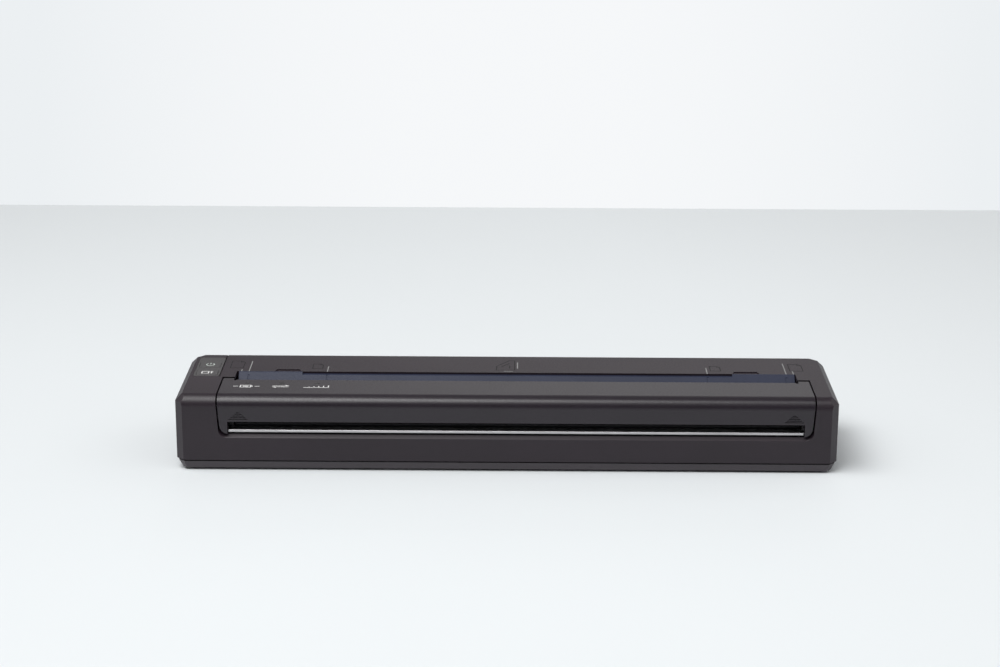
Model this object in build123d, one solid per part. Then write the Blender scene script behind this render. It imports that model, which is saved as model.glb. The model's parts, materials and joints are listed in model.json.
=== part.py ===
"""A4 portable thermal printer: a slim bar that prints one sheet at a time.

The sheet enters the long slot in the top, slides down the sloping guide, passes
between the platen roller and the print head, and leaves over the tear bar at
the front.  The release cover swings up about two pins to open the paper path.

Frame: X runs along the bar, the front faces -Y, +Z is up, and the origin lies
under the middle of the case, on the plane that the feet stand on.  Millimetres.
"""
from build123d import *
import math
import os

os.makedirs("parts", exist_ok=True)

# ------------------------------------------------------------ case, outside
case_length = 255.0        # along X
case_depth = 55.0          # along Y
case_height = 30.0         # feet to top face
wall = 1.6                 # moulded shell
foot_height = 0.9          # feet below the base
parting_height = 4.3       # feet to the housing's lower edge
seam_height = 0.7          # shadow groove between housing and base
seam_depth = 0.6
base_reveal = 0.6          # base set in below the housing, all round
base_draft = 0.3           # how far its faces draw in towards the underside
base_end_slant = 1.5       # how much further its two ends draw in
front_facet = 2.8          # 45 degree facets on the front corners
rear_facet = 3.5           # and on the rear corners
least_facet = 0.3          # facet left where a wall is drawn far in
end_bevel = 2.5            # bevel along the top of both ends
front_round = 4.5          # rounded top front edge
rear_round = 1.8           # rounded top rear edge
least_round = 0.4          # rounding left inside the shell

# ------------------------------------------------------------ release cover
left_block = 15.7          # fixed block left of the cover
right_block = 8.7          # fixed block right of the cover
cover_gap = 0.6            # gap all round the cover
cover_wall = 1.8
cover_taper = 1.0          # each side draws in towards the leg's foot
leg_width = 4.2            # cover's edge to the end of the paper slot
leg_gap = 0.4              # legs' feet above the lip
leg_corner = 3.5           # rounding of those feet
opening_corner = 3.2       # rounding of the opening round them
hinge_back = 21.5          # front face to hinge axis
hinge_drop = 4.0           # top face to hinge axis
hinge_pin_radius = 1.2
hinge_ear_radius = 3.3
hinge_ear_short = 1.2      # ear narrower than the leg
hinge_bore_end = 0.8       # wall that closes the ear's bore
hinge_pin_stop = 0.2       # end play of the pin in that bore
hinge_pin_tail = 1.5       # pin beyond the housing's wall
cover_tail = 1.6           # cover behind the hinge axis, at its ends
hinge_relief = 0.8         # gap between the cover's tail and its hollow
running_gap = 0.05         # radial play of a pin or shaft in its bore
side_web = 1.2             # stiffening webs down the cover's sides
side_web_lift = 0.8        # and their gap over the platen shaft
steer_ribs = 9             # ribs that steer the sheet down to the platen
steer_inset = 6.0          # end of the slot to the first of them
steer_drop = 1.6           # their foot below the hinge axis
steer_reach = 3.0          # edge of the slot to their front
steer_lean = 0.4           # how far their foot leans forwards
rib_width = 1.0
nub_length = 1.6           # catch nubs inside the legs
nub_depth = 1.1
nub_height = 1.6
nub_drop = 0.6             # edge of the paper exit down to the nubs
grip_rows = 5              # push-up grip: grooves that narrow to a point
grip_pitch = 0.66
grip_groove = 0.34
grip_depth = 0.4
grip_width = 7.4
grip_drop = 6.0            # top face to the grip's point
left_grip = 8.0            # cover's left edge to the middle of its grip
right_grip = 7.9           # cover's right edge to the middle of its grip

# ------------------------------------------------------------ paper slots
slot_front = 21.3          # front face to the cover's edge of the top slot
slot_depth = 11.0          # top slot, front to back
slot_notch = 0.8           # notch in the cover at both ends of the slot
slot_notch_width = 1.0
mouth_side = 0.4           # paper exit longer than the slot, at each end
mouth_drop = 10.15         # top face to the upper edge of the paper exit
lip_drop = 15.5            # top face to the top of the lip under the exit
lip_bevel = 1.2            # height of the bevel on that lip
tear_thick = 1.0           # steel tear bar
tear_gap = 0.75            # dark gap between lip and tear bar
tear_reach = 1.2           # front face back to the tear bar's edge
tear_edge = 0.12           # broken corners of that edge
thumb_depth = 0.4          # shallow thumb recesses behind the slot
thumb_back = 2.9           # how far they reach back from the slot
thumb_slant = 1.2
left_thumb = (18.8, 30.0)  # cover's left edge to both sides of the recess
right_thumb = (29.4, 17.9)  # cover's right edge to both sides of the recess

# ------------------------------------------------------------ paper guide
guide_thick = 1.6
guide_land = 0.6           # flat along the guide's top edge
guide_fit = 0.05           # guide to the wall behind the slot
guide_side = 0.9           # guide's ends to the ends of the slot
guide_foot_back = 6.5      # platen axis back to the guide's foot
guide_foot_drop = 2.6      # and down to it
guide_edge = 0.25          # rounding of its edges
guide_low_left = 30.2      # cover's left edge to the lowered middle stretch
guide_low_right = 29.2     # cover's right edge to it
guide_low_drop = 0.8
guide_low_back = 2.2
left_marks = (9.0, 40.0)   # cover's left edge to each measuring groove
right_marks = (38.9, 7.8)  # cover's right edge to each measuring groove
mark_depth = 0.2
mark_width = 0.7
guide_rib_drop = 2.2       # stiffening ribs below the ramp
guide_rib_count = 8
guide_peg_radius = 0.8     # pegs that sit in the chassis
guide_peg_back = 1.2       # foot of the guide to the pegs
sensor_width = 4.0         # reflective paper sensor and its window
sensor_length = 3.0
sensor_height = 3.4
sensor_back = 2.2          # foot of the guide to the window
sensor_sink = 0.2          # sensor below the ramp

# ------------------------------------------------------------ print mechanism
platen_back = 13.0         # front face to platen axis
platen_drop = 7.6          # top face to platen axis
platen_radius = 4.3        # over the rubber
platen_end = 1.2           # side plate to the end of the rubber
platen_chamfer = 0.4
shaft_radius = 2.0
shaft_hole_gap = 0.6       # shaft to the hole in the housing's wall
shaft_tail = 1.4           # shaft beyond the right side plate
bush_radius = 3.1
bush_length = 2.4
paper_gap = 0.2            # room for the sheet between platen and head
ceramic_thick = 0.8
ceramic_depth = 9.0
ceramic_ahead = 0.9        # strip's middle in front of the platen axis
ceramic_inset = 1.0        # heat sink's end to the strip
glaze_rise = 0.08          # heated line above the strip
glaze_half = 0.6
heatsink_thick = 2.5
heatsink_depth = 13.9
heatsink_gap = 1.2         # chassis to heat sink
groove_count = 4           # cooling grooves under the heat sink
groove_pitch = 2.2
groove_half = 0.5
groove_deep = 0.8
groove_inset = 6.0
driver_thick = 1.1         # cover over the head's driver chips
driver_gap = 0.2
driver_inset = 4.0
driver_back = 0.3
driver_bevel = 0.9
head_arm = 6.3             # platen axis back to the head's pivot
head_pivot_drop = 1.8      # heat sink's underside to the pivot axis
head_pin_radius = 1.0
head_ear_width = 3.0
head_ear_radius = 1.9
head_pin_end = 0.4         # pin beyond the side plate, and short of its ear
frame_thick = 1.0          # steel chassis
frame_left_inset = 0.4     # end of the slot to the left side plate
frame_right_reach = 0.9    # end of the slot out to the right side plate
frame_front_reach = 8.1    # platen axis to the chassis' front
frame_back_reach = 2.6     # head's pivot to the chassis' back
cheek_drop = 4.4           # top face to the top of the side plates
cheek_ahead = 4.0          # platen axis to the front of their top edge
cheek_rise = 1.5           # side plates above the tear bar
cheek_back = 3.0
cheek_round = 0.8
spring_height = 5.2        # compressed height of the head springs
spring_radius = 2.0
spring_wire = 0.5
spring_turns = 3
spring_seat = 0.05         # room at both ends of a spring
spring_count = 4
spring_inset = 20.0        # end of the heat sink to the first spring
spring_ahead = 1.0         # springs in front of the platen axis
vent_count = 6             # slots in the chassis' floor
vent_inset = 24.0
vent_length = 12.0
vent_width = 3.0

# ------------------------------------------------------------ gear train
gear_module = 0.5
platen_teeth = 16
small_teeth = 12           # small wheel of the reduction gear
large_teeth = 40           # large wheel of the reduction gear
pinion_teeth = 12
pressure_angle = 20.0
addendum = 0.85            # tooth above the pitch circle, in modules
dedendum = 1.1             # tooth below it
flank_steps = 3            # chords along one flank
backlash = 0.10            # thinning of each tooth at the pitch circle
centre_play = 0.06         # extra centre distance
gear_width = 3.0
gear_step = 0.6            # axial gap between the two gear planes
gear_side_gap = 0.9        # gear plate to the nearest gear
gear_rim = 1.8             # solid rim of the large wheel
gear_hub = 1.4             # hub round its small wheel
gear_recess = 0.7          # how deep its web is recessed
reduction_angle = -55.0    # direction from platen to reduction gear, degrees
pinion_angle = -12.0       # direction from reduction gear to pinion
post_radius = 1.0
post_head = 0.6            # collar that keeps the gear on its post
post_end = 0.3             # end play of the gear
gear_plate_inset = 14.1    # end face to the gear plate
gear_plate_thick = 1.2
gear_plate_front = 7.6     # reduction gear's axis to the plate's front
gear_plate_corner = 4.0
gear_plate_round = 1.5
plate_foot = 8.0
plate_foot_thick = 1.0
motor_radius = 7.5
motor_length = 17.0
motor_shaft_radius = 0.75
motor_bore = 5.2           # depth of the motor's bore for the pinion's shaft
motor_rim = 0.8            # rounding of the can's end
motor_ear_reach = 1.0      # mounting ears beyond the can
motor_ear_width = 5.0
motor_ear_thick = 0.8
motor_hub_radius = 2.2     # hole in the gear plate for the pinion
motor_plug_half = 2.5      # moulded plug under the can
motor_plug_length = 4.0
motor_plug_back = 2.0

# ------------------------------------------------------------ buttons and lamps
panel_inset = 3.8          # end face to the button panel
panel_width = 10.4
panel_front_back = 25.6    # front face to the button panel
panel_rear_inset = 5.2     # rear face to the button panel
panel_thick = 1.1
panel_proud = 0.05
panel_fit = 0.1            # panel to its seat
panel_corner = 0.9
panel_groove = 0.5         # joint line beside the panel
key_width = 8.4
key_length = 6.6
key_corner = 0.9
key_edge = 0.12            # rounded rim of a key
key_proud = 0.15
key_gap = 0.12
key_travel = 0.4
key_flange = 0.5
key_flange_thick = 0.8
key_stem_radius = 1.3
feed_key_back = 30.0       # front face to the middle of the feed key
key_pitch = 10.3           # feed key to power key
key_board_drop = 6.4       # top face to the key board
key_board_front_gap = 1.1  # panel's front edge to the board's
key_board_behind = 5.0     # power key's middle to the board's rear edge
rail_drop = 1.2            # rails that carry the key board
switch_half = 2.2          # dome switch
switch_height = 1.7
switch_dome = 0.5
switch_dome_radius = 1.1
lamp_offsets = (9.9, 23.5, 37.2)    # cover's left edge to each lamp window
lamp_back = 17.0                    # front face to the lamp windows
lamp_length = 2.0
lamp_width = 1.3
lamp_fit = 0.05            # light guide's studs in their windows
lamp_bar_thick = 1.2       # clear bar that joins the studs
lamp_bar_front = 1.0
lamp_bar_back = 0.8
lamp_bar_left = 3.0
lamp_bar_right = 2.0

# ------------------------------------------------------------ power and data
board_thick = 1.0
board_rise = 0.9           # main board above the floor
board_motor_gap = 4.0      # motor to main board
board_port_gap = 5.0       # main board short of the battery bay's end
board_front_gap = 1.8      # chassis' front to the board's
board_back_gap = 1.0       # board to the wall behind the slot
board_post_radius = 1.8
board_post_x = 4.0         # board's edge to its standoffs
board_post_y = 3.0
# each chip: place along and across the board, length, width, share of the height
chips = [(0.12, 0.35, 12, 12, 0.27), (0.28, 0.55, 8, 6, 0.24), (0.62, 0.40, 14, 9, 0.30),
         (0.76, 0.30, 5, 5, 0.38), (0.90, 0.60, 9, 7, 0.45)]
cable_half = 18.0          # half the width of the head's flat cable
cable_thick = 0.3
cable_rise = 1.3           # cable above the heat sink's underside
cable_foot_share = 0.32    # height of its connector, of the room over the board
connector_side = 1.5
connector_front = 1.0
connector_back = 1.6
port_drop = 21.0           # top face to the sockets' board
port_gap = 0.4             # sockets' board to the walls beside it
port_front_gap = 0.5
port_back_gap = 4.7
port_neck = 0.9            # data socket to the board's wider part
port_post_radius = 1.6
port_post_x = 3.4
port_post_y = 2.5
jack_back = 14.5           # rear face to the middle of the power jack
jack_rise = 4.0            # board to the jack's axis
jack_nose = 3.3            # radius of its nose
jack_nose_gap = 0.2
jack_bore = 2.8
jack_bore_depth = 9.0
jack_pin_radius = 0.8
jack_pin_back = 1.6        # end face to the tip of its pin
jack_half = 4.5
jack_top = 4.2             # jack's axis to its top
jack_chamfer = 0.6
jack_board_inset = 1.4
port_pitch = 10.2          # power jack to data socket
usb_width = 7.8
usb_height = 3.9
usb_depth = 8.0            # socket behind the housing's wall
usb_window_gap = 0.25
usb_shell = 0.4            # sheet of the socket
usb_corner = 1.1
usb_step = 1.15            # height of the mouth's slanted corners
usb_tongue_half = 2.4
usb_tongue_thick = 0.7
socket_sink = 0.4          # sockets' faces behind the end face

# ------------------------------------------------------------ battery
battery_gap = 0.3          # battery to bay walls
battery_corner = 3.5       # rounded long edges
battery_contact_room = 1.6
battery_top_gap = 0.6
battery_back_gap = 0.5
belt_width = 1.0           # grooves round the pack
belt_depth = 0.4
belt_count = 2
contact_count = 3
contact_pitch = 4.5
contact_first = 4.0
contact_half = 1.2
contact_thick = 0.3
contact_bow = 1.3
contact_low = 3.0
contact_high = 12.0
bay_wall = 1.2
bay_motor_gap = 5.0        # motor to bay
bay_port_room = 7.0        # bay to the right block
bay_lift = 1.2             # bay's walls above the seam
slot_lip_drop = 4.0        # top face to the foot of the lip behind the slot
door_thick = 1.6
door_gap = 0.3
door_overlap = 0.6         # door beyond the bay at each end
door_top_drop = 4.0        # top face to the battery door's upper edge
door_barrel = 1.2          # radius of the door's lower rim
door_pin_radius = 0.7
door_stub = 1.6            # its stubs beyond the door
door_bearing = 2.4         # bearing blocks for them
door_bearing_half = 1.9
door_rib_count = 7
door_rib_width = 0.8
door_rib_rise = 0.3
door_rib_inset = 8.0
nail_half = 7.0            # nail recess in its upper edge
nail_height = 3.0
nail_depth = 0.9

# ------------------------------------------------------------ fasteners, feet
boss_radius = 2.2
boss_height = 5.5
boss_inset_x = 6.2
boss_inset_y = 6.5
boss_end = 0.6             # boss above the screw's tip
boss_rib = 1.2
post_margin = 0.2          # base's posts wider than the bosses
screw_radius = 0.95
screw_head_radius = 1.9
screw_head_height = 1.1
screw_head_round = 0.5
screw_sink = 0.9           # heads behind the underside
screw_length = 6.0
screw_play = 0.02
screw_clear = 0.15         # clearance hole in the base
screw_seat_gap = 0.2
cross_length = 2.2         # cross recess
cross_width = 0.5
cross_depth = 0.5
foot_radius = 4.0
foot_recess = 0.7
foot_fit = 0.05
foot_edge = 0.3
foot_inset_x = 16.0
foot_inset_y = 11.0
tongue_thick = 1.0         # tongue of the base inside the housing
tongue_fit = 0.1
tongue_height = 1.9
battery_ribs = 5           # ribs that carry the battery
block_wall_drop = 9.4      # top face to the foot of the blocks' inner walls
block_wall_front = 5.5     # depth of their full height part
block_wall_back = 5.0      # hinge axis to their rear end
chassis_post_radius = 1.6
chassis_post_left = 7.5    # left side plate to the chassis' posts
chassis_post_right = 3.2
chassis_post_y = 4.0

# ------------------------------------------------------------ clearances
clear = 0.3                # between pieces that move past each other
over = 0.1                 # a cut reaches this far past the face it opens
root = 0.2                 # an added form starts this deep in what carries it
beyond = 1.0               # a cut through a wall ends this far outside it

# ------------------------------------------------------------ places
left_x = -case_length / 2
right_x = case_length / 2
front_y = -case_depth / 2
rear_y = case_depth / 2
top_z = case_height
floor_z = foot_height + wall

cover_left = left_x + left_block + cover_gap
cover_right = right_x - right_block - cover_gap
cover_z = top_z - cover_wall
slot_left = cover_left + leg_width
slot_right = cover_right - leg_width
mouth_left = slot_left - mouth_side
mouth_right = slot_right + mouth_side
hinge_y = front_y + hinge_back
hinge_z = top_z - hinge_drop
slot_front_y = front_y + slot_front
slot_back_y = slot_front_y + slot_depth
mouth_z = top_z - mouth_drop
lip_z = top_z - lip_drop
lip_front_z = lip_z - lip_bevel
tear_bottom = lip_z + tear_gap
tear_top = tear_bottom + tear_thick

platen_y = front_y + platen_back
platen_z = top_z - platen_drop
head_z = platen_z - platen_radius - paper_gap
heatsink_top = head_z - ceramic_thick
heatsink_bottom = heatsink_top - heatsink_thick
head_pivot_y = platen_y + head_arm
head_pivot_z = heatsink_bottom - head_pivot_drop
chassis_top = heatsink_bottom - spring_height
chassis_z = chassis_top - frame_thick

left_frame = slot_left + frame_left_inset          # outer face of the left side plate
right_frame = slot_right + frame_right_reach       # outer face of the right side plate
frame_left_in = left_frame + frame_thick
frame_right_in = right_frame - frame_thick
frame_front_y = platen_y - frame_front_reach
frame_back_y = head_pivot_y + frame_back_reach
cheek_top = top_z - cheek_drop

block_left_in = left_x + left_block - wall         # inside face of the left block's wall
block_right_in = right_x - right_block + wall
gear_plate_x = left_x + gear_plate_inset           # outer face of the gear plate
plane_a = gear_plate_x - gear_side_gap - gear_width    # platen gear and small wheel
plane_b = plane_a - gear_step - gear_width             # large wheel and pinion

reduction_distance = gear_module * (platen_teeth + small_teeth) / 2 + centre_play
pinion_distance = gear_module * (large_teeth + pinion_teeth) / 2 + centre_play
reduction_y = platen_y + reduction_distance * math.cos(math.radians(reduction_angle))
reduction_z = platen_z + reduction_distance * math.sin(math.radians(reduction_angle))
pinion_y = reduction_y + pinion_distance * math.cos(math.radians(pinion_angle))
pinion_z = reduction_z + pinion_distance * math.sin(math.radians(pinion_angle))
motor_left = gear_plate_x + gear_plate_thick
motor_right = motor_left + motor_length

bay_left = motor_right + bay_motor_gap
bay_right = block_right_in - bay_port_room
bay_front = slot_back_y + bay_wall
bay_floor = parting_height + bay_lift
door_left = bay_left - door_overlap
door_right = bay_right + door_overlap
door_top = top_z - door_top_drop
door_axis_z = parting_height + door_gap + door_barrel
door_axis_y = rear_y - door_barrel

board_z = floor_z + board_rise
board_top = board_z + board_thick
board_left = motor_right + board_motor_gap
board_right = bay_right - board_port_gap
board_front = frame_front_y + board_front_gap
board_back = slot_back_y - board_back_gap
port_board_z = top_z - port_drop
port_top = port_board_z + board_thick
jack_y = rear_y - jack_back
jack_z = port_top + jack_rise
usb_y = jack_y - port_pitch
usb_z = port_top + usb_height / 2
port_left = bay_right + bay_wall + port_gap
port_right = right_x - wall - port_gap
port_front = usb_y - usb_width / 2 - port_front_gap
port_back = jack_y + port_back_gap

panel_left = left_x + panel_inset
panel_right = panel_left + panel_width
panel_front_y = front_y + panel_front_back
panel_rear_y = rear_y - panel_rear_inset
panel_floor = top_z + panel_proud - panel_thick
key_x = panel_left + panel_width / 2
feed_key_y = front_y + feed_key_back
power_key_y = feed_key_y + key_pitch
key_board_top = top_z - key_board_drop
key_board_z = key_board_top - board_thick
key_board_front = panel_front_y + key_board_front_gap
key_board_back = power_key_y + key_board_behind

boss_x = case_length / 2 - boss_inset_x
boss_y = case_depth / 2 - boss_inset_y
boss_xy = [(sx * boss_x, sy * boss_y) for sx in (-1, 1) for sy in (-1, 1)]
boss_top = parting_height + boss_height
screw_seat = foot_height + screw_sink + screw_head_height
foot_x = case_length / 2 - foot_inset_x
foot_y = case_depth / 2 - foot_inset_y
foot_xy = [(sx * foot_x, sy * foot_y) for sx in (-1, 1) for sy in (-1, 1)]
lamp_xy = [(cover_left + offset, front_y + lamp_back) for offset in lamp_offsets]
sensor_x = (slot_left + slot_right) / 2
parts = {}


# ------------------------------------------------------------ drawing helpers
def block(x0, x1, y0, y1, z0, z1):
    """Rectangular block between two corners."""
    middle = Pos((x0 + x1) / 2, (y0 + y1) / 2, (z0 + z1) / 2)
    return middle * Box(x1 - x0, y1 - y0, z1 - z0)


def rod_x(x0, x1, y, z, radius):
    """Round bar along X."""
    return Plane.YZ.offset(x0) * Pos(y, z) * extrude(Circle(radius), x1 - x0)


def bore_x(x0, x1, y, z, radius):
    """Round hole along X, cut a little past both faces."""
    return rod_x(x0 - over, x1 + over, y, z, radius)


def post_z(x, y, z0, z1, radius):
    """Round bar along Z."""
    return Pos(x, y, z0) * extrude(Circle(radius), z1 - z0)


def outline(points, radii=None):
    """Closed flat face through the points, with its corners rounded where asked."""
    if radii is None:
        return make_face(Polyline(*points, close=True))
    return make_face(FilletPolyline(*points, radius=radii, close=True))


def along_x(face, x0, x1):
    """Face drawn in (Y, Z), carried along X."""
    return extrude(Plane.YZ.offset(x0) * face, x1 - x0)


def along_y(face, y0, y1):
    """Face drawn in (X, Z), carried along Y."""
    return extrude(Plane.XZ.offset(-y1) * face, y1 - y0)


def along_z(face, z0, z1):
    """Face drawn in (X, Y), carried along Z."""
    return extrude(Plane.XY.offset(z0) * face, z1 - z0)


def spread(first, last, count):
    """Evenly spaced places from first to last."""
    return [first + (last - first) * i / (count - 1) for i in range(count)]


def save(name, shape):
    """Keep one sub-part under the name of its node."""
    parts[name] = shape


def save_group(name, pieces):
    """Keep separate like solids under one node."""
    parts[name] = Compound(children=[piece.solid() for piece in pieces])


# ------------------------------------------------------------ the case's form
DIAGONAL = 2 - math.sqrt(2)    # share of an inset by which a 45 degree facet shortens


def plan(inset, reach=0.0, ends=0.0):
    """Plan of the case, drawn in by inset; its ends draw in by that much more,
    and reach pushes front and rear out again."""
    half = case_length / 2 - inset - ends
    y0 = front_y + inset - reach
    y1 = rear_y - inset + reach
    loss = DIAGONAL * (inset + ends)
    f = max(front_facet - loss, least_facet) + reach
    r = max(rear_facet - loss, least_facet) + reach
    points = [(-half + f, y0), (half - f, y0), (half, y0 + f), (half, y1 - r),
              (half - r, y1), (-half + r, y1), (-half, y1 - r), (-half, y0 + f)]
    return outline(points)


def case_form(inset, z0):
    """The case as one solid above z0, all faces drawn in by inset."""
    z1 = top_z - inset
    bevel = end_bevel - DIAGONAL * inset
    straight = along_z(plan(inset), z0, z1)
    round_front = max(front_round - inset, least_round)
    round_rear = max(rear_round - inset, least_round)
    y0 = front_y + inset
    y1 = rear_y - inset
    side = outline([(y0, z0), (y1, z0), (y1, z1), (y0, z1)], [0, 0, round_rear, round_front])
    lower = along_z(plan(inset, bevel), z0, z1 - bevel)
    upper = loft([Plane.XY.offset(z1 - bevel) * plan(inset, bevel),
                  Plane.XY.offset(z1) * plan(inset + bevel, bevel)], ruled=True)
    return straight & along_x(side, left_x, right_x) & (lower + upper)


def cover_face(gap, foot_z, corner):
    """Front view of the cover, grown by gap; its sides draw in towards the feet."""
    top = top_z + beyond
    x0 = cover_left - gap
    x1 = cover_right + gap
    knee = top_z - end_bevel
    points = [(x0, top), (x0, knee), (x0 + cover_taper, foot_z), (x1 - cover_taper, foot_z),
              (x1, knee), (x1, top)]
    return outline(points, [0, 0, corner, corner, 0, 0])


# ------------------------------------------------------------ gears
def gear_face(teeth, phase):
    """Involute spur wheel; one tooth points along the phase angle (radians)."""
    pitch = gear_module * teeth / 2
    base_circle = pitch * math.cos(math.radians(pressure_angle))
    tip = pitch + addendum * gear_module
    foot = pitch - dedendum * gear_module
    half_at_pitch = math.pi / (2 * teeth) - backlash / (2 * pitch)

    def involute(radius):
        ratio = math.sqrt(max((radius / base_circle) ** 2 - 1, 0))
        return ratio - math.atan(ratio)

    start = max(base_circle, foot)
    flank = [(foot, half_at_pitch + involute(pitch) - involute(start))]
    if start > foot:
        flank.append((start, half_at_pitch + involute(pitch) - involute(start)))
    for radius in spread(start, tip, flank_steps + 1)[1:]:
        flank.append((radius, half_at_pitch + involute(pitch) - involute(radius)))
    points = []
    for tooth in range(teeth):
        middle = phase + 2 * math.pi * tooth / teeth
        rising = [(r, middle - a) for r, a in flank]
        falling = [(r, middle + a) for r, a in reversed(flank)]
        points += [(r * math.cos(t), r * math.sin(t)) for r, t in rising + falling]
    return outline(points)


def wheel(teeth, phase, x0, x1, y, z, bore):
    """Spur wheel on an axis along X."""
    face = gear_face(teeth, phase)
    if bore:
        face -= Circle(bore)
    return Plane.YZ.offset(x0) * Pos(y, z) * extrude(face, x1 - x0)


# ============================================================ the case
outer = case_form(0, parting_height)
cavity = case_form(wall, parting_height - beyond)

# Housing: one thin moulding for the lower front, both end blocks, the rear top and the back.
housing = outer - cavity

# Inner walls of both end blocks, beside the cover.
block_back_y = hinge_y + block_wall_back
wall_bottom = top_z - block_wall_drop
under_top = top_z - beyond
for x0 in (block_left_in, block_right_in - wall):
    upper_wall = block(x0, x0 + wall, front_y + beyond, block_back_y, wall_bottom, under_top)
    front_wall = block(x0, x0 + wall, front_y + beyond, front_y + block_wall_front,
                       parting_height, under_top)
    housing += (upper_wall + front_wall) & outer

# The wall behind the top slot: deep along the battery bay, a shallow lip elsewhere.
housing += block(slot_left, slot_right, slot_back_y, bay_front, top_z - slot_lip_drop, under_top)
housing += block(bay_left - bay_wall, bay_right + bay_wall, slot_back_y, bay_front,
                 bay_floor, under_top)
for x0 in (bay_left - bay_wall, bay_right):
    bay_end = block(x0, x0 + bay_wall, slot_back_y, rear_y - wall / 2, bay_floor, under_top)
    housing += bay_end & outer

# Opening for the cover, its bevelled lip, the hollow for its tail and the paper slot.
housing -= along_y(cover_face(cover_gap, lip_z, opening_corner), front_y - beyond, hinge_y)
bevel_faces = [Plane.XZ.offset(-(front_y + back)) * cover_face(cover_gap, foot, opening_corner)
               for back, foot in ((0, lip_front_z), (wall, lip_z))]
housing -= loft(bevel_faces, ruled=True)
tail_reach = math.hypot(cover_tail, hinge_drop)
housing -= rod_x(cover_left - cover_gap, cover_right + cover_gap, hinge_y, hinge_z,
                 tail_reach + hinge_relief)
housing -= block(slot_left, slot_right, slot_front_y - beyond, slot_back_y, lip_z, top_z + beyond)

# Two shallow thumb recesses in the edge behind the slot.
thumbs = ([cover_left + reach for reach in left_thumb], [cover_right - reach for reach in right_thumb])
for x0, x1 in thumbs:
    shape = outline([(x0, slot_back_y - beyond), (x1, slot_back_y - beyond),
                     (x1 - thumb_slant, slot_back_y + thumb_back),
                     (x0 + thumb_slant, slot_back_y + thumb_back)])
    housing -= along_z(shape, top_z - thumb_depth, top_z + beyond)

# Seat and window of the button panel, and the joint line beside it.
housing -= block(panel_left, panel_right, panel_front_y, panel_rear_y, panel_floor, top_z + beyond)
window_front = feed_key_y - key_length / 2 - key_flange - clear
window_back = power_key_y + key_length / 2 + key_flange + clear
window_half = key_width / 2 + clear
housing -= block(key_x - window_half, key_x + window_half, window_front, window_back,
                 top_z - wall - beyond, top_z)
housing -= block(panel_right, panel_right + panel_groove, panel_front_y, rear_y,
                 top_z - panel_groove, top_z + beyond)

# Rails under both sides of the key board.
rail_z = key_board_z - rail_drop
rails = block(left_x + wall / 2, panel_left + root, key_board_front, key_board_back,
              rail_z, key_board_z)
rails += block(panel_right - board_thick, block_left_in + wall, key_board_front, key_board_back,
               rail_z, key_board_z)
rails += block(block_left_in, block_left_in + wall, block_back_y - wall, key_board_back,
               rail_z, top_z - wall)
housing += rails & outer

# Screw bosses with a rib to the end wall.
for x, y in boss_xy:
    side = math.copysign(1, x)
    boss = post_z(x, y, parting_height + over, boss_top, boss_radius)
    x_wall = side * (case_length / 2 - wall / 2)
    rib = block(min(x, x_wall), max(x, x_wall), y - boss_rib / 2, y + boss_rib / 2,
                parting_height + over, boss_top)
    housing += (boss + rib) & outer
    housing -= post_z(x, y, parting_height - beyond, boss_top - boss_end, screw_radius + screw_play)

# Passages for the platen shaft and the hinge pins.
housing -= bore_x(block_left_in, block_left_in + wall, platen_y, platen_z,
                  shaft_radius + shaft_hole_gap)
for x0 in (block_left_in, block_right_in - wall):
    housing -= bore_x(x0, x0 + wall, hinge_y, hinge_z, hinge_pin_radius)

# Battery door opening, with a bearing block for its stub at each end.
housing -= block(door_left - door_gap, door_right + door_gap, rear_y - 2 * wall, rear_y + beyond,
                 parting_height - beyond, door_top + door_gap)
for x0 in (door_left - door_gap - door_bearing, door_right + door_gap):
    housing += block(x0, x0 + door_bearing, door_axis_y - door_bearing_half, rear_y - wall / 2,
                     parting_height + over, door_axis_z + door_bearing_half)
    housing -= bore_x(x0, x0 + door_bearing, door_axis_y, door_axis_z,
                      door_pin_radius + running_gap)

# Sockets in the right end face.
wall_in = right_x - wall
housing -= rod_x(wall_in - beyond, right_x + beyond, jack_y, jack_z, jack_nose + jack_nose_gap)
usb_half_y = usb_width / 2 + usb_window_gap
usb_half_z = usb_height / 2 + usb_window_gap
housing -= block(wall_in - beyond, right_x + beyond, usb_y - usb_half_y, usb_y + usb_half_y,
                 usb_z - usb_half_z, usb_z + usb_half_z)
save("main_housing", housing)

# Base: a shallow tray with slanted ends, set in below a shadow groove, and a tongue
# that steps inside the housing.
seam_bottom = parting_height - seam_height
under_inset = base_reveal + base_draft
groove_in = base_reveal + seam_depth
skin_in = base_reveal + wall
base = loft([Plane.XY.offset(seam_bottom) * plan(base_reveal),
             Plane.XY.offset(foot_height) * plan(under_inset, ends=base_end_slant)], ruled=True)
base += along_z(plan(groove_in), seam_bottom, parting_height)
base -= loft([Plane.XY.offset(parting_height) * plan(skin_in),
              Plane.XY.offset(floor_z) * plan(under_inset + wall / 2, ends=base_end_slant)],
             ruled=True)
tongue_top = parting_height + tongue_height
tongue_in = wall + tongue_fit
tongue = along_z(plan(tongue_in) - plan(tongue_in + tongue_thick), seam_bottom, tongue_top)
behind = rear_y - 3 * wall
tongue_cut = clear + door_gap + door_bearing
cuts = [(door_left - tongue_cut, door_right + tongue_cut, behind, rear_y),
        (bay_left - bay_wall - root, bay_right + bay_wall + root, behind, rear_y)]
for x in (block_left_in + wall / 2, block_right_in - wall / 2):
    half = wall / 2 + clear
    cuts.append((x - half, x + half, front_y, front_y + block_wall_front + clear))
for x, y in boss_xy:
    half = boss_rib / 2 + clear
    reach = boss_radius + foot_radius + clear
    cuts.append((x - reach, x + reach, y - half, y + half))
for x0, x1, y0, y1 in cuts:
    tongue -= block(x0, x1, y0, y1, parting_height, tongue_top + beyond)
base += tongue
for x, y in boss_xy:
    base += post_z(x, y, floor_z - root, parting_height, boss_radius + post_margin)

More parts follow.
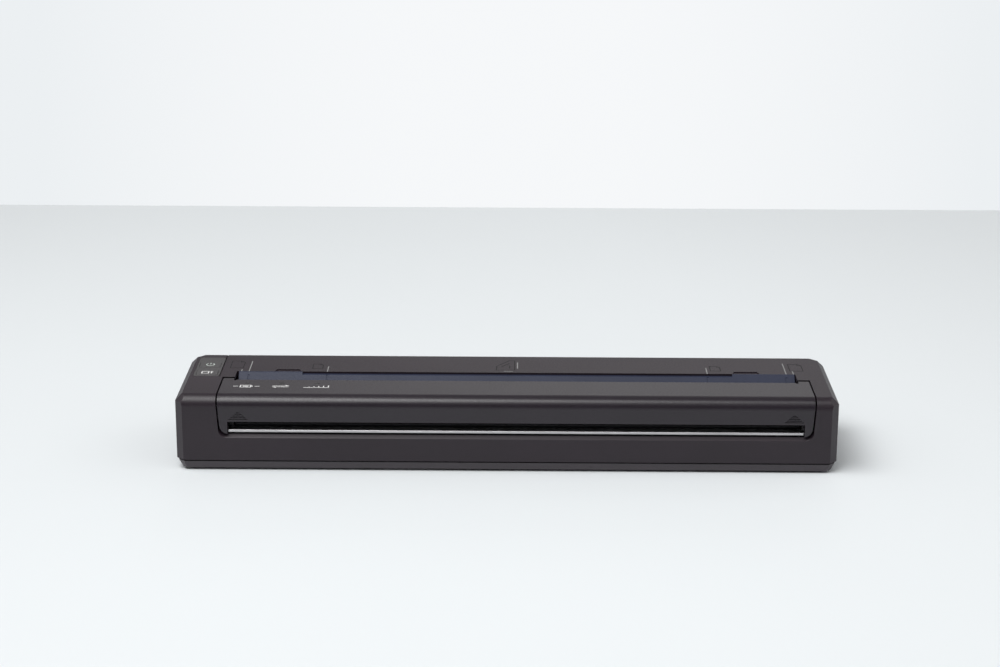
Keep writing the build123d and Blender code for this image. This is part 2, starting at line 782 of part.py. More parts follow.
# Feet recesses, screw seats and clearance holes.
for x, y in foot_xy:
    base -= post_z(x, y, foot_height - beyond, foot_height + foot_recess, foot_radius)
for x, y in boss_xy:
    base -= post_z(x, y, foot_height - beyond, screw_seat, screw_head_radius + screw_seat_gap)
    base -= post_z(x, y, screw_seat - over, parting_height + beyond, screw_radius + screw_clear)

# Ribs that carry the battery, and standoffs for the boards and the chassis.
battery_z = bay_floor + battery_gap
rib_pitch = (bay_right - bay_left) / battery_ribs
for x in spread(bay_left + rib_pitch / 2, bay_right - rib_pitch / 2, battery_ribs):
    base += block(x - rib_width / 2, x + rib_width / 2, bay_front + clear, behind - wall,
                  floor_z - root, battery_z)
for x in (board_left + board_post_x, board_right - board_post_x):
    for y in (board_front + board_post_y, board_back - board_post_y):
        base += post_z(x, y, floor_z - root, board_z, board_post_radius)
for x in (left_frame + chassis_post_left, right_frame - chassis_post_right):
    for y in (frame_front_y + chassis_post_y, frame_back_y - chassis_post_y):
        base += post_z(x, y, floor_z - root, chassis_z, chassis_post_radius)
for y in (port_front + port_post_y, port_back - port_post_y):
    base += post_z(port_right - port_post_x, y, floor_z - root, port_board_z, port_post_radius)
save("bottom_cover", base)

feet = [post_z(x, y, 0, foot_height + foot_recess, foot_radius - foot_fit) for x, y in foot_xy]
feet = [foot.fillet(foot_edge, foot.edges().group_by(Axis.Z)[0]) for foot in feet]
save_group("rubber_feet", feet)


def case_screw(x, y):
    """Pan head screw, head down, driven up into its boss."""
    head_z = screw_seat - screw_head_height
    head = post_z(x, y, head_z, screw_seat, screw_head_radius)
    head = head.fillet(screw_head_round, head.edges().group_by(Axis.Z)[0])
    cross = Box(cross_length, cross_width, 2 * cross_depth)
    cross += Box(cross_width, cross_length, 2 * cross_depth)
    shank = post_z(x, y, screw_seat, screw_seat + screw_length, screw_radius)
    return head + shank - Pos(x, y, head_z) * cross


save_group("case_screws", [case_screw(x, y) for x, y in boss_xy])

# ============================================================ release cover
cover_back_y = hinge_y + cover_tail
cover_front = along_y(cover_face(0, lip_z + leg_gap, leg_corner), front_y, cover_back_y)
cover = (outer & cover_front) - case_form(cover_wall, parting_height - beyond)
cover -= block(mouth_left, mouth_right, front_y - beyond, slot_front_y - 2 * leg_width,
               chassis_z, mouth_z)
cover -= block(slot_left, slot_right, slot_front_y, cover_back_y + beyond,
               cover_z - beyond, top_z + beyond)
for x0 in (slot_left, slot_right - slot_notch_width):
    cover -= block(x0, x0 + slot_notch_width, slot_front_y - slot_notch, cover_back_y + beyond,
                   cover_z - beyond, top_z + beyond)

# Hinge ears with a web up to the top plate.
ear_length = leg_width - hinge_ear_short
bore_radius = hinge_pin_radius + running_gap
bore_depth = ear_length - hinge_bore_end
for x0 in (cover_left, cover_right - ear_length):
    cover += rod_x(x0, x0 + ear_length, hinge_y, hinge_z, hinge_ear_radius)
    cover += block(x0, x0 + ear_length, hinge_y - hinge_ear_radius, hinge_y + cover_tail - clear,
                   hinge_z, under_top)

# Stiffening webs at the sides, and the ribs that steer the sheet down to the platen.
web_z = platen_z + shaft_radius + side_web_lift
for x0 in (cover_left, cover_right - side_web):
    cover += block(x0, x0 + side_web, front_y + cover_wall - root, hinge_y, web_z, under_top)
steer_foot = hinge_z - steer_drop
steer_front_y = slot_front_y - steer_reach
steer_face = outline([(slot_front_y, cover_z + root), (slot_front_y - steer_lean, steer_foot),
                      (slot_front_y - cover_wall, steer_foot),
                      (steer_front_y, cover_z - rib_width), (steer_front_y, cover_z + root)])
for x in spread(slot_left + steer_inset, slot_right - steer_inset, steer_ribs):
    cover += along_x(steer_face, x - rib_width / 2, x + rib_width / 2)
cover -= rod_x(cover_left - over, cover_left + bore_depth, hinge_y, hinge_z, bore_radius)
cover -= rod_x(cover_right - bore_depth, cover_right + over, hinge_y, hinge_z, bore_radius)

# Catch nubs on the legs' inner faces.
nub_y = front_y + cover_wall - clear
nub_z = mouth_z - nub_drop
for x0 in (mouth_left - nub_length, mouth_right):
    cover += block(x0, x0 + nub_length, nub_y, nub_y + nub_depth, nub_z - nub_height, nub_z)

# Lamp windows.
for x, y in lamp_xy:
    cover -= along_z(Pos(x, y) * SlotOverall(lamp_length, lamp_width),
                     cover_z - beyond, top_z + beyond)

# Push-up grips: stacks of grooves that narrow upwards to a point.
for grip_x in (cover_left + left_grip, cover_right - right_grip):
    for row in range(1, grip_rows + 1):
        z = top_z - grip_drop - grip_pitch * row
        half = grip_width / 2 * row / grip_rows
        cover -= block(grip_x - half, grip_x + half, front_y - beyond, front_y + grip_depth,
                       z, z + grip_groove)
save("release_cover", cover)

# Clear light guide under the cover: a bar with one stud in each window.
lamp_y = front_y + lamp_back
guide_bar = block(lamp_xy[0][0] - lamp_bar_left, lamp_xy[-1][0] + lamp_bar_right,
                  lamp_y - lamp_bar_front, lamp_y + lamp_bar_back,
                  cover_z - lamp_bar_thick, cover_z)
for x, y in lamp_xy:
    stud = SlotOverall(lamp_length - 2 * lamp_fit, lamp_width - 2 * lamp_fit)
    guide_bar += along_z(Pos(x, y) * stud, cover_z - root, top_z - lamp_fit)
save("light_guide", guide_bar)

pin_reach = bore_depth - hinge_pin_stop
save("left_hinge_pin", rod_x(block_left_in - hinge_pin_tail, cover_left + pin_reach,
                             hinge_y, hinge_z, hinge_pin_radius))
save("right_hinge_pin", rod_x(cover_right - pin_reach, block_right_in + hinge_pin_tail,
                              hinge_y, hinge_z, hinge_pin_radius))

# ============================================================ paper path
guide_left = frame_left_in + clear
guide_right = frame_right_in - clear
foot_at = (platen_y + guide_foot_back, platen_z - guide_foot_drop)
top_at = (slot_back_y - guide_fit, top_z)
edge_at = (top_at[0] - guide_land, top_z)
run = (edge_at[0] - foot_at[0], edge_at[1] - foot_at[1])
slope = run[1] / run[0]
run_length = math.hypot(*run)
normal = (run[1] / run_length * guide_thick, -run[0] / run_length * guide_thick)
back_z = top_z - 2 * guide_thick
under_foot = (foot_at[0] + normal[0], foot_at[1] + normal[1])
ramp = outline([foot_at, edge_at, top_at, (top_at[0], back_z), under_foot],
               [guide_edge, guide_edge, 0, guide_edge, guide_edge])
guide = along_x(ramp, guide_left, guide_right)

# Above the side plates the ramp widens to the ends of the slot.
wide = along_x(ramp, slot_left + guide_side, slot_right - guide_side)
guide += wide & block(slot_left, slot_right, foot_at[0], slot_back_y, cheek_top + clear, top_z)
guide -= block(cover_left + guide_low_left, cover_right - guide_low_right,
               slot_back_y - guide_low_back, slot_back_y + beyond,
               top_z - guide_low_drop, top_z + beyond)

# Shallow measuring grooves down the ramp where the sheet's edges run.
mark_low = (foot_at[0] + beyond, foot_at[1] + beyond * slope - mark_depth)
mark_high = (edge_at[0] - beyond, edge_at[1] - beyond * slope - mark_depth)
mark_face = outline([mark_low, mark_high, (mark_high[0], top_z + beyond),
                     (mark_low[0], top_z + beyond)])
mark_xs = [cover_left + reach for reach in left_marks]
mark_xs += [cover_right - reach for reach in right_marks]
for x in mark_xs:
    guide -= along_x(mark_face, x - mark_width / 2, x + mark_width / 2)

# Stiffening ribs below the ramp, and a peg at each end that sits in the chassis.
rib_back = slot_back_y - bay_wall
rib_top = back_z - bay_wall
under = outline([(under_foot[0], under_foot[1] + root), (rib_back, rib_top),
                 (rib_back, rib_top - guide_rib_drop),
                 (under_foot[0] + guide_thick, under_foot[1] - 2 * clear)])
first_rib = board_left
last_rib = guide_right - guide_foot_back
for x in spread(first_rib, last_rib, guide_rib_count):
    guide += along_x(under, x - rib_width / 2, x + rib_width / 2)
peg_y = foot_at[0] + guide_peg_back
peg_z = foot_at[1] + over
for x0, x1 in ((left_frame, guide_left + clear), (guide_right - clear, right_frame)):
    guide += rod_x(x0, x1, peg_y, peg_z, guide_peg_radius)

# Window for the paper sensor near the foot of the ramp.
sensor_half = sensor_width / 2
sensor_y = foot_at[0] + sensor_back
guide -= block(sensor_x - sensor_half, sensor_x + sensor_half, sensor_y, sensor_y + sensor_length,
               foot_at[1] - 2 * guide_thick, top_z)
save("paper_guide", guide)

sensor_top = foot_at[1] + sensor_back * slope - sensor_sink
save("paper_sensor", block(sensor_x - sensor_half + over, sensor_x + sensor_half - over,
                           sensor_y + over, sensor_y + sensor_length - over,
                           sensor_top - sensor_height, sensor_top))

tear_y = front_y + tear_reach
tear_back_y = frame_front_y + frame_thick
tear_face = outline([(tear_y + tear_edge, tear_bottom), (tear_back_y, tear_bottom),
                     (tear_back_y, tear_top), (tear_y + tear_edge, tear_top),
                     (tear_y, tear_top - tear_edge), (tear_y, tear_bottom + tear_edge)])
save("tear_bar", along_x(tear_face, mouth_left + clear, mouth_right - clear))

# ============================================================ print mechanism
# Chassis: one folded steel channel that carries platen, head and tear bar.
chassis = block(left_frame, right_frame, frame_front_y, frame_back_y, chassis_z, chassis_top)
chassis += block(left_frame, right_frame, frame_front_y, tear_back_y, chassis_z, tear_bottom)
cheek_front = tear_back_y + over
cheek = outline([(frame_front_y, chassis_z), (frame_back_y, chassis_z),
                 (frame_back_y, peg_z + 2 * frame_thick), (frame_back_y - cheek_back, cheek_top),
                 (platen_y - cheek_ahead, cheek_top), (cheek_front, tear_top + cheek_rise),
                 (cheek_front, tear_bottom), (frame_front_y, tear_bottom)],
                [0, 0, cheek_round, cheek_round, cheek_round, cheek_round, 0, 0])
for x0 in (left_frame, frame_right_in):
    x1 = x0 + frame_thick
    chassis += along_x(cheek, x0, x1)
    chassis -= bore_x(x0, x1, platen_y, platen_z, bush_radius)
    chassis -= bore_x(x0, x1, head_pivot_y, head_pivot_z, head_pin_radius)
    chassis -= bore_x(x0, x1, peg_y, peg_z, guide_peg_radius + running_gap)
vent_y = (head_pivot_y + platen_y) / 2 + vent_width
for x in spread(left_frame + vent_inset, right_frame - vent_inset, vent_count):
    hole = Pos(x, vent_y) * SlotOverall(vent_length, vent_width)
    chassis -= along_z(hole, chassis_z - over, chassis_top + over)
save("mechanism_chassis", chassis)

# Platen: steel shaft, rubber sleeve, drive gear at the left end.
platen_left = frame_left_in + platen_end
platen_right = frame_right_in - platen_end
save("platen_shaft", rod_x(plane_a - head_pin_end, right_frame + shaft_tail,
                           platen_y, platen_z, shaft_radius))
sleeve = rod_x(platen_left, platen_right, platen_y, platen_z, platen_radius)
sleeve = sleeve.chamfer(platen_chamfer, platen_chamfer, sleeve.edges().filter_by(GeomType.CIRCLE))
save("platen_roller", sleeve - bore_x(platen_left, platen_right, platen_y, platen_z, shaft_radius))
bush_side = (bush_length - frame_thick) / 2
for name, x0 in (("left_platen_bush", left_frame), ("right_platen_bush", frame_right_in)):
    ends = (x0 - bush_side, x0 + frame_thick + bush_side)
    bush = rod_x(*ends, platen_y, platen_z, bush_radius)
    save(name, bush - bore_x(*ends, platen_y, platen_z, shaft_radius + running_gap))

# Each wheel's teeth are turned so that they meet the gaps of the wheel before it.
to_reduction = math.radians(reduction_angle)
to_pinion = math.radians(pinion_angle)
small_phase = to_reduction + math.pi + math.pi / small_teeth
pinion_phase = to_pinion + math.pi + math.pi / pinion_teeth
save("platen_gear", wheel(platen_teeth, to_reduction, plane_a, plane_a + gear_width,
                          platen_y, platen_z, shaft_radius))
post_bore = post_radius + running_gap
large = wheel(large_teeth, to_pinion, plane_b, plane_b + gear_width, reduction_y, reduction_z,
              post_bore)
web_outer = gear_module * large_teeth / 2 - gear_rim
web_inner = gear_module * small_teeth / 2 + gear_hub
for x0, x1 in ((plane_b - over, plane_b + gear_recess),
               (plane_b + gear_width - gear_recess, plane_b + gear_width + over)):
    ring = rod_x(x0, x1, reduction_y, reduction_z, web_outer)
    large -= ring - bore_x(x0, x1, reduction_y, reduction_z, web_inner)
small = wheel(small_teeth, small_phase, plane_b, plane_a + gear_width, reduction_y, reduction_z,
              post_bore)
save("reduction_gear", small + large)

# Gear plate: folded steel, carries the motor and the reduction gear's post.
plate_front = reduction_y - gear_plate_front
plate_back = pinion_y + motor_radius + gear_plate_thick
plate_top = wall_bottom - clear
plate_face = outline([(plate_front, floor_z), (plate_back, floor_z),
                      (plate_back, plate_top - gear_plate_corner),
                      (plate_back - gear_plate_corner, plate_top), (plate_front, plate_top)],
                     [0, 0, gear_plate_round, gear_plate_round, gear_plate_round])
gear_plate = along_x(plate_face, gear_plate_x, motor_left)
gear_plate += block(gear_plate_x, gear_plate_x + plate_foot, plate_front, plate_back,
                    floor_z, floor_z + plate_foot_thick)
gear_plate -= bore_x(gear_plate_x, motor_left, pinion_y, pinion_z, motor_hub_radius)
gear_plate -= bore_x(gear_plate_x, motor_left, reduction_y, reduction_z, post_radius)
save("gear_plate", gear_plate)
collar_right = plane_b - post_end
collar_left = collar_right - post_head
post = rod_x(collar_left, motor_left, reduction_y, reduction_z, post_radius)
post += rod_x(collar_left, collar_right, reduction_y, reduction_z, post_radius + post_head)
save("reduction_gear_post", post)

# Stepper motor: can with a mounting ear front and back; the pinion turns in it.
can = rod_x(motor_left, motor_right, pinion_y, pinion_z, motor_radius)
can = can.fillet(motor_rim, can.edges().filter_by(GeomType.CIRCLE).sort_by(Axis.X)[-1:])
ears = SlotOverall(2 * (motor_radius + motor_ear_reach), motor_ear_width)
can += Plane.YZ.offset(motor_left) * Pos(pinion_y, pinion_z) * extrude(ears, motor_ear_thick)
plug_right = motor_right - motor_plug_back
can += block(plug_right - motor_plug_length, plug_right, pinion_y - motor_plug_half,
             pinion_y + motor_plug_half, pinion_z - motor_radius - motor_ear_thick,
             pinion_z - motor_radius + beyond)
can -= rod_x(motor_left - over, motor_left + motor_bore, pinion_y, pinion_z,
             motor_shaft_radius + running_gap)
save("feed_motor", can)
pinion = wheel(pinion_teeth, pinion_phase, plane_b, plane_b + gear_width, pinion_y, pinion_z, 0)
pinion += rod_x(plane_b - post_end, motor_left + motor_bore - root, pinion_y, pinion_z,
                motor_shaft_radius)
save("motor_pinion", pinion)

# Print head: aluminium heat sink with the ceramic strip, sprung up on two pins.
head_left = frame_left_in + clear
head_right = frame_right_in - clear
head_front_y = frame_front_y + frame_thick + heatsink_gap
head_back_y = head_front_y + heatsink_depth
heatsink = block(head_left, head_right, head_front_y, head_back_y, heatsink_bottom, heatsink_top)
ear_back = head_pivot_y + head_ear_radius - root
ear_face = outline([(head_pivot_y - head_ear_radius, heatsink_bottom + root),
                    (head_pivot_y - head_ear_radius, head_pivot_z),
                    (head_pivot_y, head_pivot_z - head_ear_radius),
                    (ear_back, head_pivot_z), (ear_back, heatsink_bottom + root)],
                   [0, cheek_round, 1.0, cheek_round, 0])
for x0 in (head_left, head_right - head_ear_width):
    x1 = x0 + head_ear_width
    heatsink += along_x(ear_face, x0, x1)
    heatsink -= bore_x(x0, x1, head_pivot_y, head_pivot_z, head_pin_radius + running_gap)
for i in range(groove_count):
    y = head_front_y + (i + 0.75) * groove_pitch
    heatsink -= block(head_left + groove_inset, head_right - groove_inset, y - groove_half,
                      y + groove_half, heatsink_bottom - over, heatsink_bottom + groove_deep)
save("head_heatsink", heatsink)
ceramic_front = platen_y - ceramic_depth / 2 - ceramic_ahead
ceramic_back = ceramic_front + ceramic_depth
strip_left = head_left + ceramic_inset
strip_right = head_right - ceramic_inset
ceramic = block(strip_left, strip_right, ceramic_front, ceramic_back, heatsink_top,
                head_z - glaze_rise)
ceramic += block(strip_left + 2 * root, strip_right - 2 * root, platen_y - glaze_half,
                 platen_y + glaze_half, head_z - 2 * glaze_rise, head_z)
save("head_ceramic", ceramic)
driver_front = ceramic_back + driver_gap
driver_end = head_back_y - driver_back
driver_top = heatsink_top + driver_thick
driver_face = outline([(driver_front, heatsink_top), (driver_end, heatsink_top),
                       (driver_end, driver_top - 2 * driver_bevel / 3),
                       (driver_end - driver_bevel, driver_top), (driver_front, driver_top)])
save("head_driver_cover", along_x(driver_face, head_left + driver_inset, head_right - driver_inset))
pin_in = head_ear_width - head_pin_end
pins = [rod_x(left_frame - head_pin_end, head_left + pin_in, head_pivot_y, head_pivot_z,
              head_pin_radius),
        rod_x(head_right - pin_in, right_frame + head_pin_end, head_pivot_y, head_pivot_z,
              head_pin_radius)]
save_group("head_pivot_pins", pins)


def coil_spring(x, y, z0, height):
    """Round wire wound in open turns, with a little room at both ends."""
    rise = height - spring_wire - 2 * spring_seat
    path = Helix(pitch=rise / spring_turns, height=rise, radius=spring_radius - spring_wire / 2)
    section = Plane(origin=path @ 0, z_dir=path % 0) * RegularPolygon(spring_wire / 2, 6)
    return Pos(x, y, z0 + spring_wire / 2 + spring_seat) * sweep(section, path=path)


save_group("head_springs", [coil_spring(x, platen_y - spring_ahead, chassis_top, spring_height)
                            for x in spread(head_left + spring_inset, head_right - spring_inset,
                                            spring_count)])

# Flat cable from the head's back edge down to the main board.
part_room = chassis_z - clear - board_top
cable_y = frame_back_y + clear
cable_foot_z = board_top + cable_foot_share * part_room
cable_z = heatsink_bottom + cable_rise
cable_face = outline([(head_back_y, cable_z + cable_thick),
                      (cable_y + cable_thick, cable_z + cable_thick),
                      (cable_y + cable_thick, cable_foot_z), (cable_y, cable_foot_z),
                      (cable_y, cable_z), (head_back_y, cable_z)])
save("head_ribbon_cable", along_x(cable_face, sensor_x - cable_half, sensor_x + cable_half))

# ============================================================ electronics
main_board = block(board_left, board_right, board_front, board_back, board_z, board_top)
for share_x, share_y, length, width, share_z in chips:
    x = board_left + (board_right - board_left) * share_x
    y = board_front + (board_back - board_front) * share_y
    main_board += block(x - length / 2, x + length / 2, y - width / 2, y + width / 2,
                        board_top - over, board_top + part_room * share_z)
connector_half = cable_half + connector_side
main_board += block(sensor_x - connector_half, sensor_x + connector_half,
                    cable_y - connector_front, cable_y + connector_back,
                    board_top - over, cable_foot_z)
save("main_board", main_board)

key_board = block(left_x + wall + port_gap, block_left_in - 2 * clear, key_board_front,
                  key_board_back, key_board_z, key_board_top)
switch_top = key_board_top + switch_height
key_ys = {"feed_button": feed_key_y, "power_button": power_key_y}
for y in key_ys.values():
    key_board += block(key_x - switch_half, key_x + switch_half, y - switch_half, y + switch_half,
                       key_board_top - over, switch_top - switch_dome)
    key_board += post_z(key_x, y, switch_top - switch_dome - over, switch_top, switch_dome_radius)
save("key_board", key_board)

panel = block(panel_left + panel_fit, panel_right - panel_fit, panel_front_y + panel_fit,
              panel_rear_y - panel_fit, panel_floor, top_z + panel_proud)
panel = panel.fillet(panel_corner, panel.edges().filter_by(Axis.Z))
for y in key_ys.values():
    opening = RectangleRounded(key_width + 2 * key_gap, key_length + 2 * key_gap,
                               key_corner + key_gap)
    panel -= along_z(Pos(key_x, y) * opening, panel_floor - over, top_z + beyond)
save("button_panel", panel)

key_top = top_z + key_proud
flange_top = panel_floor - clear
key_under = flange_top - key_flange_thick
for name, y in key_ys.items():
    cap = along_z(Pos(key_x, y) * RectangleRounded(key_width, key_length, key_corner),
                  key_under, key_top)
    cap = cap.fillet(key_edge, cap.edges().group_by(Axis.Z)[-1])
    half = key_length / 2 + key_flange
    cap += block(key_x - key_width / 2, key_x + key_width / 2, y - half, y + half,
                 key_under, flange_top)
    cap += post_z(key_x, y, switch_top + key_travel + clear, key_under + over, key_stem_radius)
    save(name, cap)

# Charger and data sockets on their own small board at the right end.
port_board = block(port_left, port_right, usb_y + usb_width / 2 + port_neck, port_back,
                   port_board_z, port_top)
port_board += block(right_frame + 2 * port_gap, port_right, port_front, port_back,
                    port_board_z, port_top)
save("port_board", port_board)
socket_face = right_x - socket_sink
usb_back = wall_in - usb_depth
usb = block(usb_back, socket_face, usb_y - usb_width / 2, usb_y + usb_width / 2,
            port_top, port_top + usb_height)
mouth_half = usb_width / 2 - usb_shell
mouth_rise = usb_height / 2 - usb_shell
mouth_knee = usb_z - mouth_rise + usb_step
usb_mouth = outline([(usb_y - mouth_half, usb_z + mouth_rise), (usb_y + mouth_half, usb_z + mouth_rise),
                     (usb_y + mouth_half, mouth_knee), (usb_y + mouth_half - usb_corner, usb_z - mouth_rise),
                     (usb_y - mouth_half + usb_corner, usb_z - mouth_rise), (usb_y - mouth_half, mouth_knee)])
usb -= along_x(usb_mouth, usb_back + usb_corner, right_x)
usb += block(usb_back + usb_corner - over, right_x - wall + over, usb_y - usb_tongue_half,
             usb_y + usb_tongue_half, usb_z + over, usb_z + over + usb_tongue_thick)
save("usb_socket", usb)
jack = block(port_left + jack_board_inset, wall_in - over, jack_y - jack_half, jack_y + jack_half,
             port_top, jack_z + jack_top)
jack = jack.chamfer(jack_chamfer, jack_chamfer, jack.edges().filter_by(Axis.X).group_by(Axis.Z)[-1])
jack += rod_x(wall_in - root, socket_face, jack_y, jack_z, jack_nose)
jack -= rod_x(right_x - jack_bore_depth, right_x, jack_y, jack_z, jack_bore)
jack += rod_x(right_x - jack_bore_depth - over, right_x - jack_pin_back, jack_y, jack_z,
              jack_pin_radius)
save("power_jack", jack)

# ============================================================ battery
battery_left = bay_left + battery_contact_room
battery_right = bay_right - battery_gap
battery_top = door_top - battery_top_gap
battery_front = bay_front + battery_gap
battery_back = rear_y - door_thick - battery_back_gap
cell_face = outline([(battery_front, battery_z), (battery_back, battery_z),
                     (battery_back, battery_top), (battery_front, battery_top)],
                    [battery_corner] * 4)
battery = along_x(cell_face, battery_left, battery_right)
belt = cell_face - offset(cell_face, -belt_depth)
for x in spread(battery_left, battery_right, belt_count + 2)[1:-1]:
    battery -= along_x(belt, x - belt_width / 2, x + belt_width / 2)
save("battery_pack", battery)

# Spring contacts: bowed blades between the bay's end and the pack.
contact_foot = battery_z + contact_low
contact_head = battery_z + contact_high
contact_mid = (contact_foot + contact_head) / 2
contact_face = outline([(bay_left, contact_foot), (bay_left + contact_thick, contact_foot),
                        (bay_left + contact_bow, contact_mid), (bay_left + contact_thick, contact_head),
                        (bay_left, contact_head), (bay_left + contact_bow - contact_thick, contact_mid)])
blade_ys = [bay_front + contact_first + contact_pitch * i for i in range(contact_count)]
save_group("battery_contacts", [along_y(contact_face, y - contact_half, y + contact_half)
                                for y in blade_ys])

# Door: a flat flap on a round lower rim, with stubs that turn in the housing.
door_in = rear_y - door_thick
door = block(door_left, door_right, door_in, rear_y, door_axis_z, door_top)
door += rod_x(door_left, door_right, door_axis_y, door_axis_z, door_barrel)
door += rod_x(door_left - door_gap - door_stub, door_right + door_gap + door_stub,
              door_axis_y, door_axis_z, door_pin_radius)
for x in spread(door_left + door_rib_inset, door_right - door_rib_inset, door_rib_count):
    door += block(x - door_rib_width / 2, x + door_rib_width / 2, door_in - door_rib_rise,
                  door_in + over, door_axis_z + 2 * door_barrel, door_top - beyond)
nail_x = (door_left + door_right) / 2
nail = outline([(rear_y - nail_depth, door_top + over), (rear_y + over, door_top + over),
                (rear_y + over, door_top - nail_height)])
door -= along_x(nail, nail_x - nail_half, nail_x + nail_half)
save("battery_door", door)

for node, shape in parts.items():
    export_step(shape, f"parts/{node}.step")
print(len(parts), "nodes written")
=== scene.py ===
# %% [markdown]
# # A portable thermal printer, dressed and lit
# The construction comes ready made: every shell, gear and screw is a mesh in the frame.
# This file gives each of them its finish, winds four springs, adds the printed marks, and
# lights the scene. Remodelling the pieces here would only copy what is already exact.

# %% Load the frame
import json
import math
import bpy
import numpy as np
from mathutils import Matrix, Vector


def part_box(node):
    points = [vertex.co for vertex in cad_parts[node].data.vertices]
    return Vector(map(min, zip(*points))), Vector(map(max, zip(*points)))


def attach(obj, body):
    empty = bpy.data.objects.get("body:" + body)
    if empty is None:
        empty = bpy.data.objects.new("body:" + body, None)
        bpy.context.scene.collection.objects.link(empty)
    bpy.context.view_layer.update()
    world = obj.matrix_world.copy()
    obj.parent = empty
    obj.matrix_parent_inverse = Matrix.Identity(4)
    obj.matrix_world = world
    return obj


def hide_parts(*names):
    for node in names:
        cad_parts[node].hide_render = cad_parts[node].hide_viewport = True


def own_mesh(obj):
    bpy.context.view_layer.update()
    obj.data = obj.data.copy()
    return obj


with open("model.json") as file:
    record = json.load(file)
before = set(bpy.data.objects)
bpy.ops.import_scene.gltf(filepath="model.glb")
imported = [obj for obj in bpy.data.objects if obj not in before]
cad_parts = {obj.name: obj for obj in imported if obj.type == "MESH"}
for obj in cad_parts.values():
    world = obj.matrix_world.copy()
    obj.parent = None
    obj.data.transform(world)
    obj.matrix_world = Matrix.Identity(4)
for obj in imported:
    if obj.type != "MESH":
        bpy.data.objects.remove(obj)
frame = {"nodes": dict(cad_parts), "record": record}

nodes = frame["nodes"]
for plain in list(bpy.data.materials):     # the plain colours that came with the pieces
    bpy.data.materials.remove(plain)
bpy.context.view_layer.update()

# %% [markdown]
# ## Units and places
# The pieces are in metres, but a maker thinks of this printer in millimetres.
# One constant turns one into the other. The places of the printed marks are measured
# from the edges of the real pieces, so they follow the frame if it changes.

# %% Millimetres and the pieces' edges
MM = 0.001
case_low, case_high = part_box("main_housing")
cover_low, cover_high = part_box("release_cover")
top_z = case_high.z
front_y = case_low.y
print("top at", round(top_z / MM, 2), "mm, cover from", round(cover_low.x / MM, 1),
      "to", round(cover_high.x / MM, 1), "mm")

# %% [markdown]
# ## The camera
# A long lens from the front, a little above the bar, keeps its long edges nearly level.
# The camera is turned by three angles: yaw about Z, pitch down, and a trace of roll.
# Aiming it at a point would be shorter, but leaves out the roll, so its matrix is built
# from the three axes that the angles give.

# %% Camera
FRAME_WIDTH = 1000           # picture width in pixels
FOCAL_PIXELS = 2289          # focal length in pixels
SENSOR_WIDTH = 36.0          # millimetres
CAMERA_PLACE = Vector((1.1, -858.7, 306.2)) * MM
YAW, PITCH, ROLL = (math.radians(angle) for angle in (0.266, 16.758, 0.268))


def put(name, data):
    """A new object with the given data, linked to the scene."""
    thing = bpy.data.objects.new(name, data)
    bpy.context.scene.collection.objects.link(thing)
    return thing


def camera_matrix(place, yaw, pitch, roll):
    """Camera axes as columns: right, up and backwards.

    Forward is Y turned by yaw and dipped by pitch; right lies level; up is their cross
    product; roll then turns right and up about forward.
    """
    forward = Vector((-math.sin(yaw) * math.cos(pitch), math.cos(yaw) * math.cos(pitch),
                      -math.sin(pitch)))
    level = Vector((math.cos(yaw), math.sin(yaw), 0.0))
    raised = level.cross(forward)
    right = math.cos(roll) * level + math.sin(roll) * raised
    up = math.cos(roll) * raised - math.sin(roll) * level
    turned = Matrix((right, up, -forward)).transposed()
    return Matrix.Translation(place) @ turned.to_4x4()


camera_data = bpy.data.cameras.new("studio_camera")
camera_data.sensor_width = SENSOR_WIDTH
camera_data.lens = FOCAL_PIXELS / FRAME_WIDTH * SENSOR_WIDTH
camera = put("studio_camera", camera_data)
camera.matrix_world = camera_matrix(CAMERA_PLACE, YAW, PITCH, ROLL)
bpy.context.scene.camera = camera
bpy.context.scene.view_settings.view_transform = "Standard"
print("lens", round(camera_data.lens, 1), "mm")

# %% [markdown]
# ## Building a material from small steps
# Most finishes here are a Principled shader with four things added: a colour that drifts
# between two near tones, a roughness that drifts too, a fine relief, and softened edges.
# Ink, glaze, film and the like do without one or two of them.
# Drift comes from noise in the piece's own coordinates, so it stays put when it moves.
# The Bevel node rounds the normals near an edge, as moulding and folding really do, and
# costs no triangles. Each step is a short function, so that a finish reads like a recipe.

# %% Node helpers
EDGE_SAMPLES = 4             # rays of the Bevel node at each point


def new_material(name):
    """A named material with its node tree and its Principled shader."""
    material = bpy.data.materials.new(name)
    material.use_nodes = True
    return material, material.node_tree, material.node_tree.nodes["Principled BSDF"]


def place(tree, stretch=(1, 1, 1)):
    """The piece's own coordinates, with a stretch for grain that runs one way."""
    coordinates = tree.nodes.new("ShaderNodeTexCoord")
    mapping = tree.nodes.new("ShaderNodeMapping")
    mapping.inputs["Scale"].default_value = stretch
    tree.links.new(coordinates.outputs["Object"], mapping.inputs["Vector"])
    return mapping.outputs["Vector"]


def noise(tree, where, size, detail=3.0):
    """Cloudy noise whose blobs measure about size metres."""
    texture = tree.nodes.new("ShaderNodeTexNoise")
    texture.inputs["Scale"].default_value = 1 / size
    texture.inputs["Detail"].default_value = detail
    tree.links.new(where, texture.inputs["Vector"])
    return texture.outputs["Fac"]


def between(tree, value, low, high, start=0.3, stop=0.7):
    """Carries value from start..stop to low..high, and stays at either beyond.

    Noise hardly ever leaves 0.3..0.7, so that is the usual start and stop.
    """
    spread = tree.nodes.new("ShaderNodeMapRange")
    for socket, number in (("From Min", start), ("From Max", stop), ("To Min", low), ("To Max", high)):
        spread.inputs[socket].default_value = number
    tree.links.new(value, spread.inputs["Value"])
    return spread.outputs["Result"]


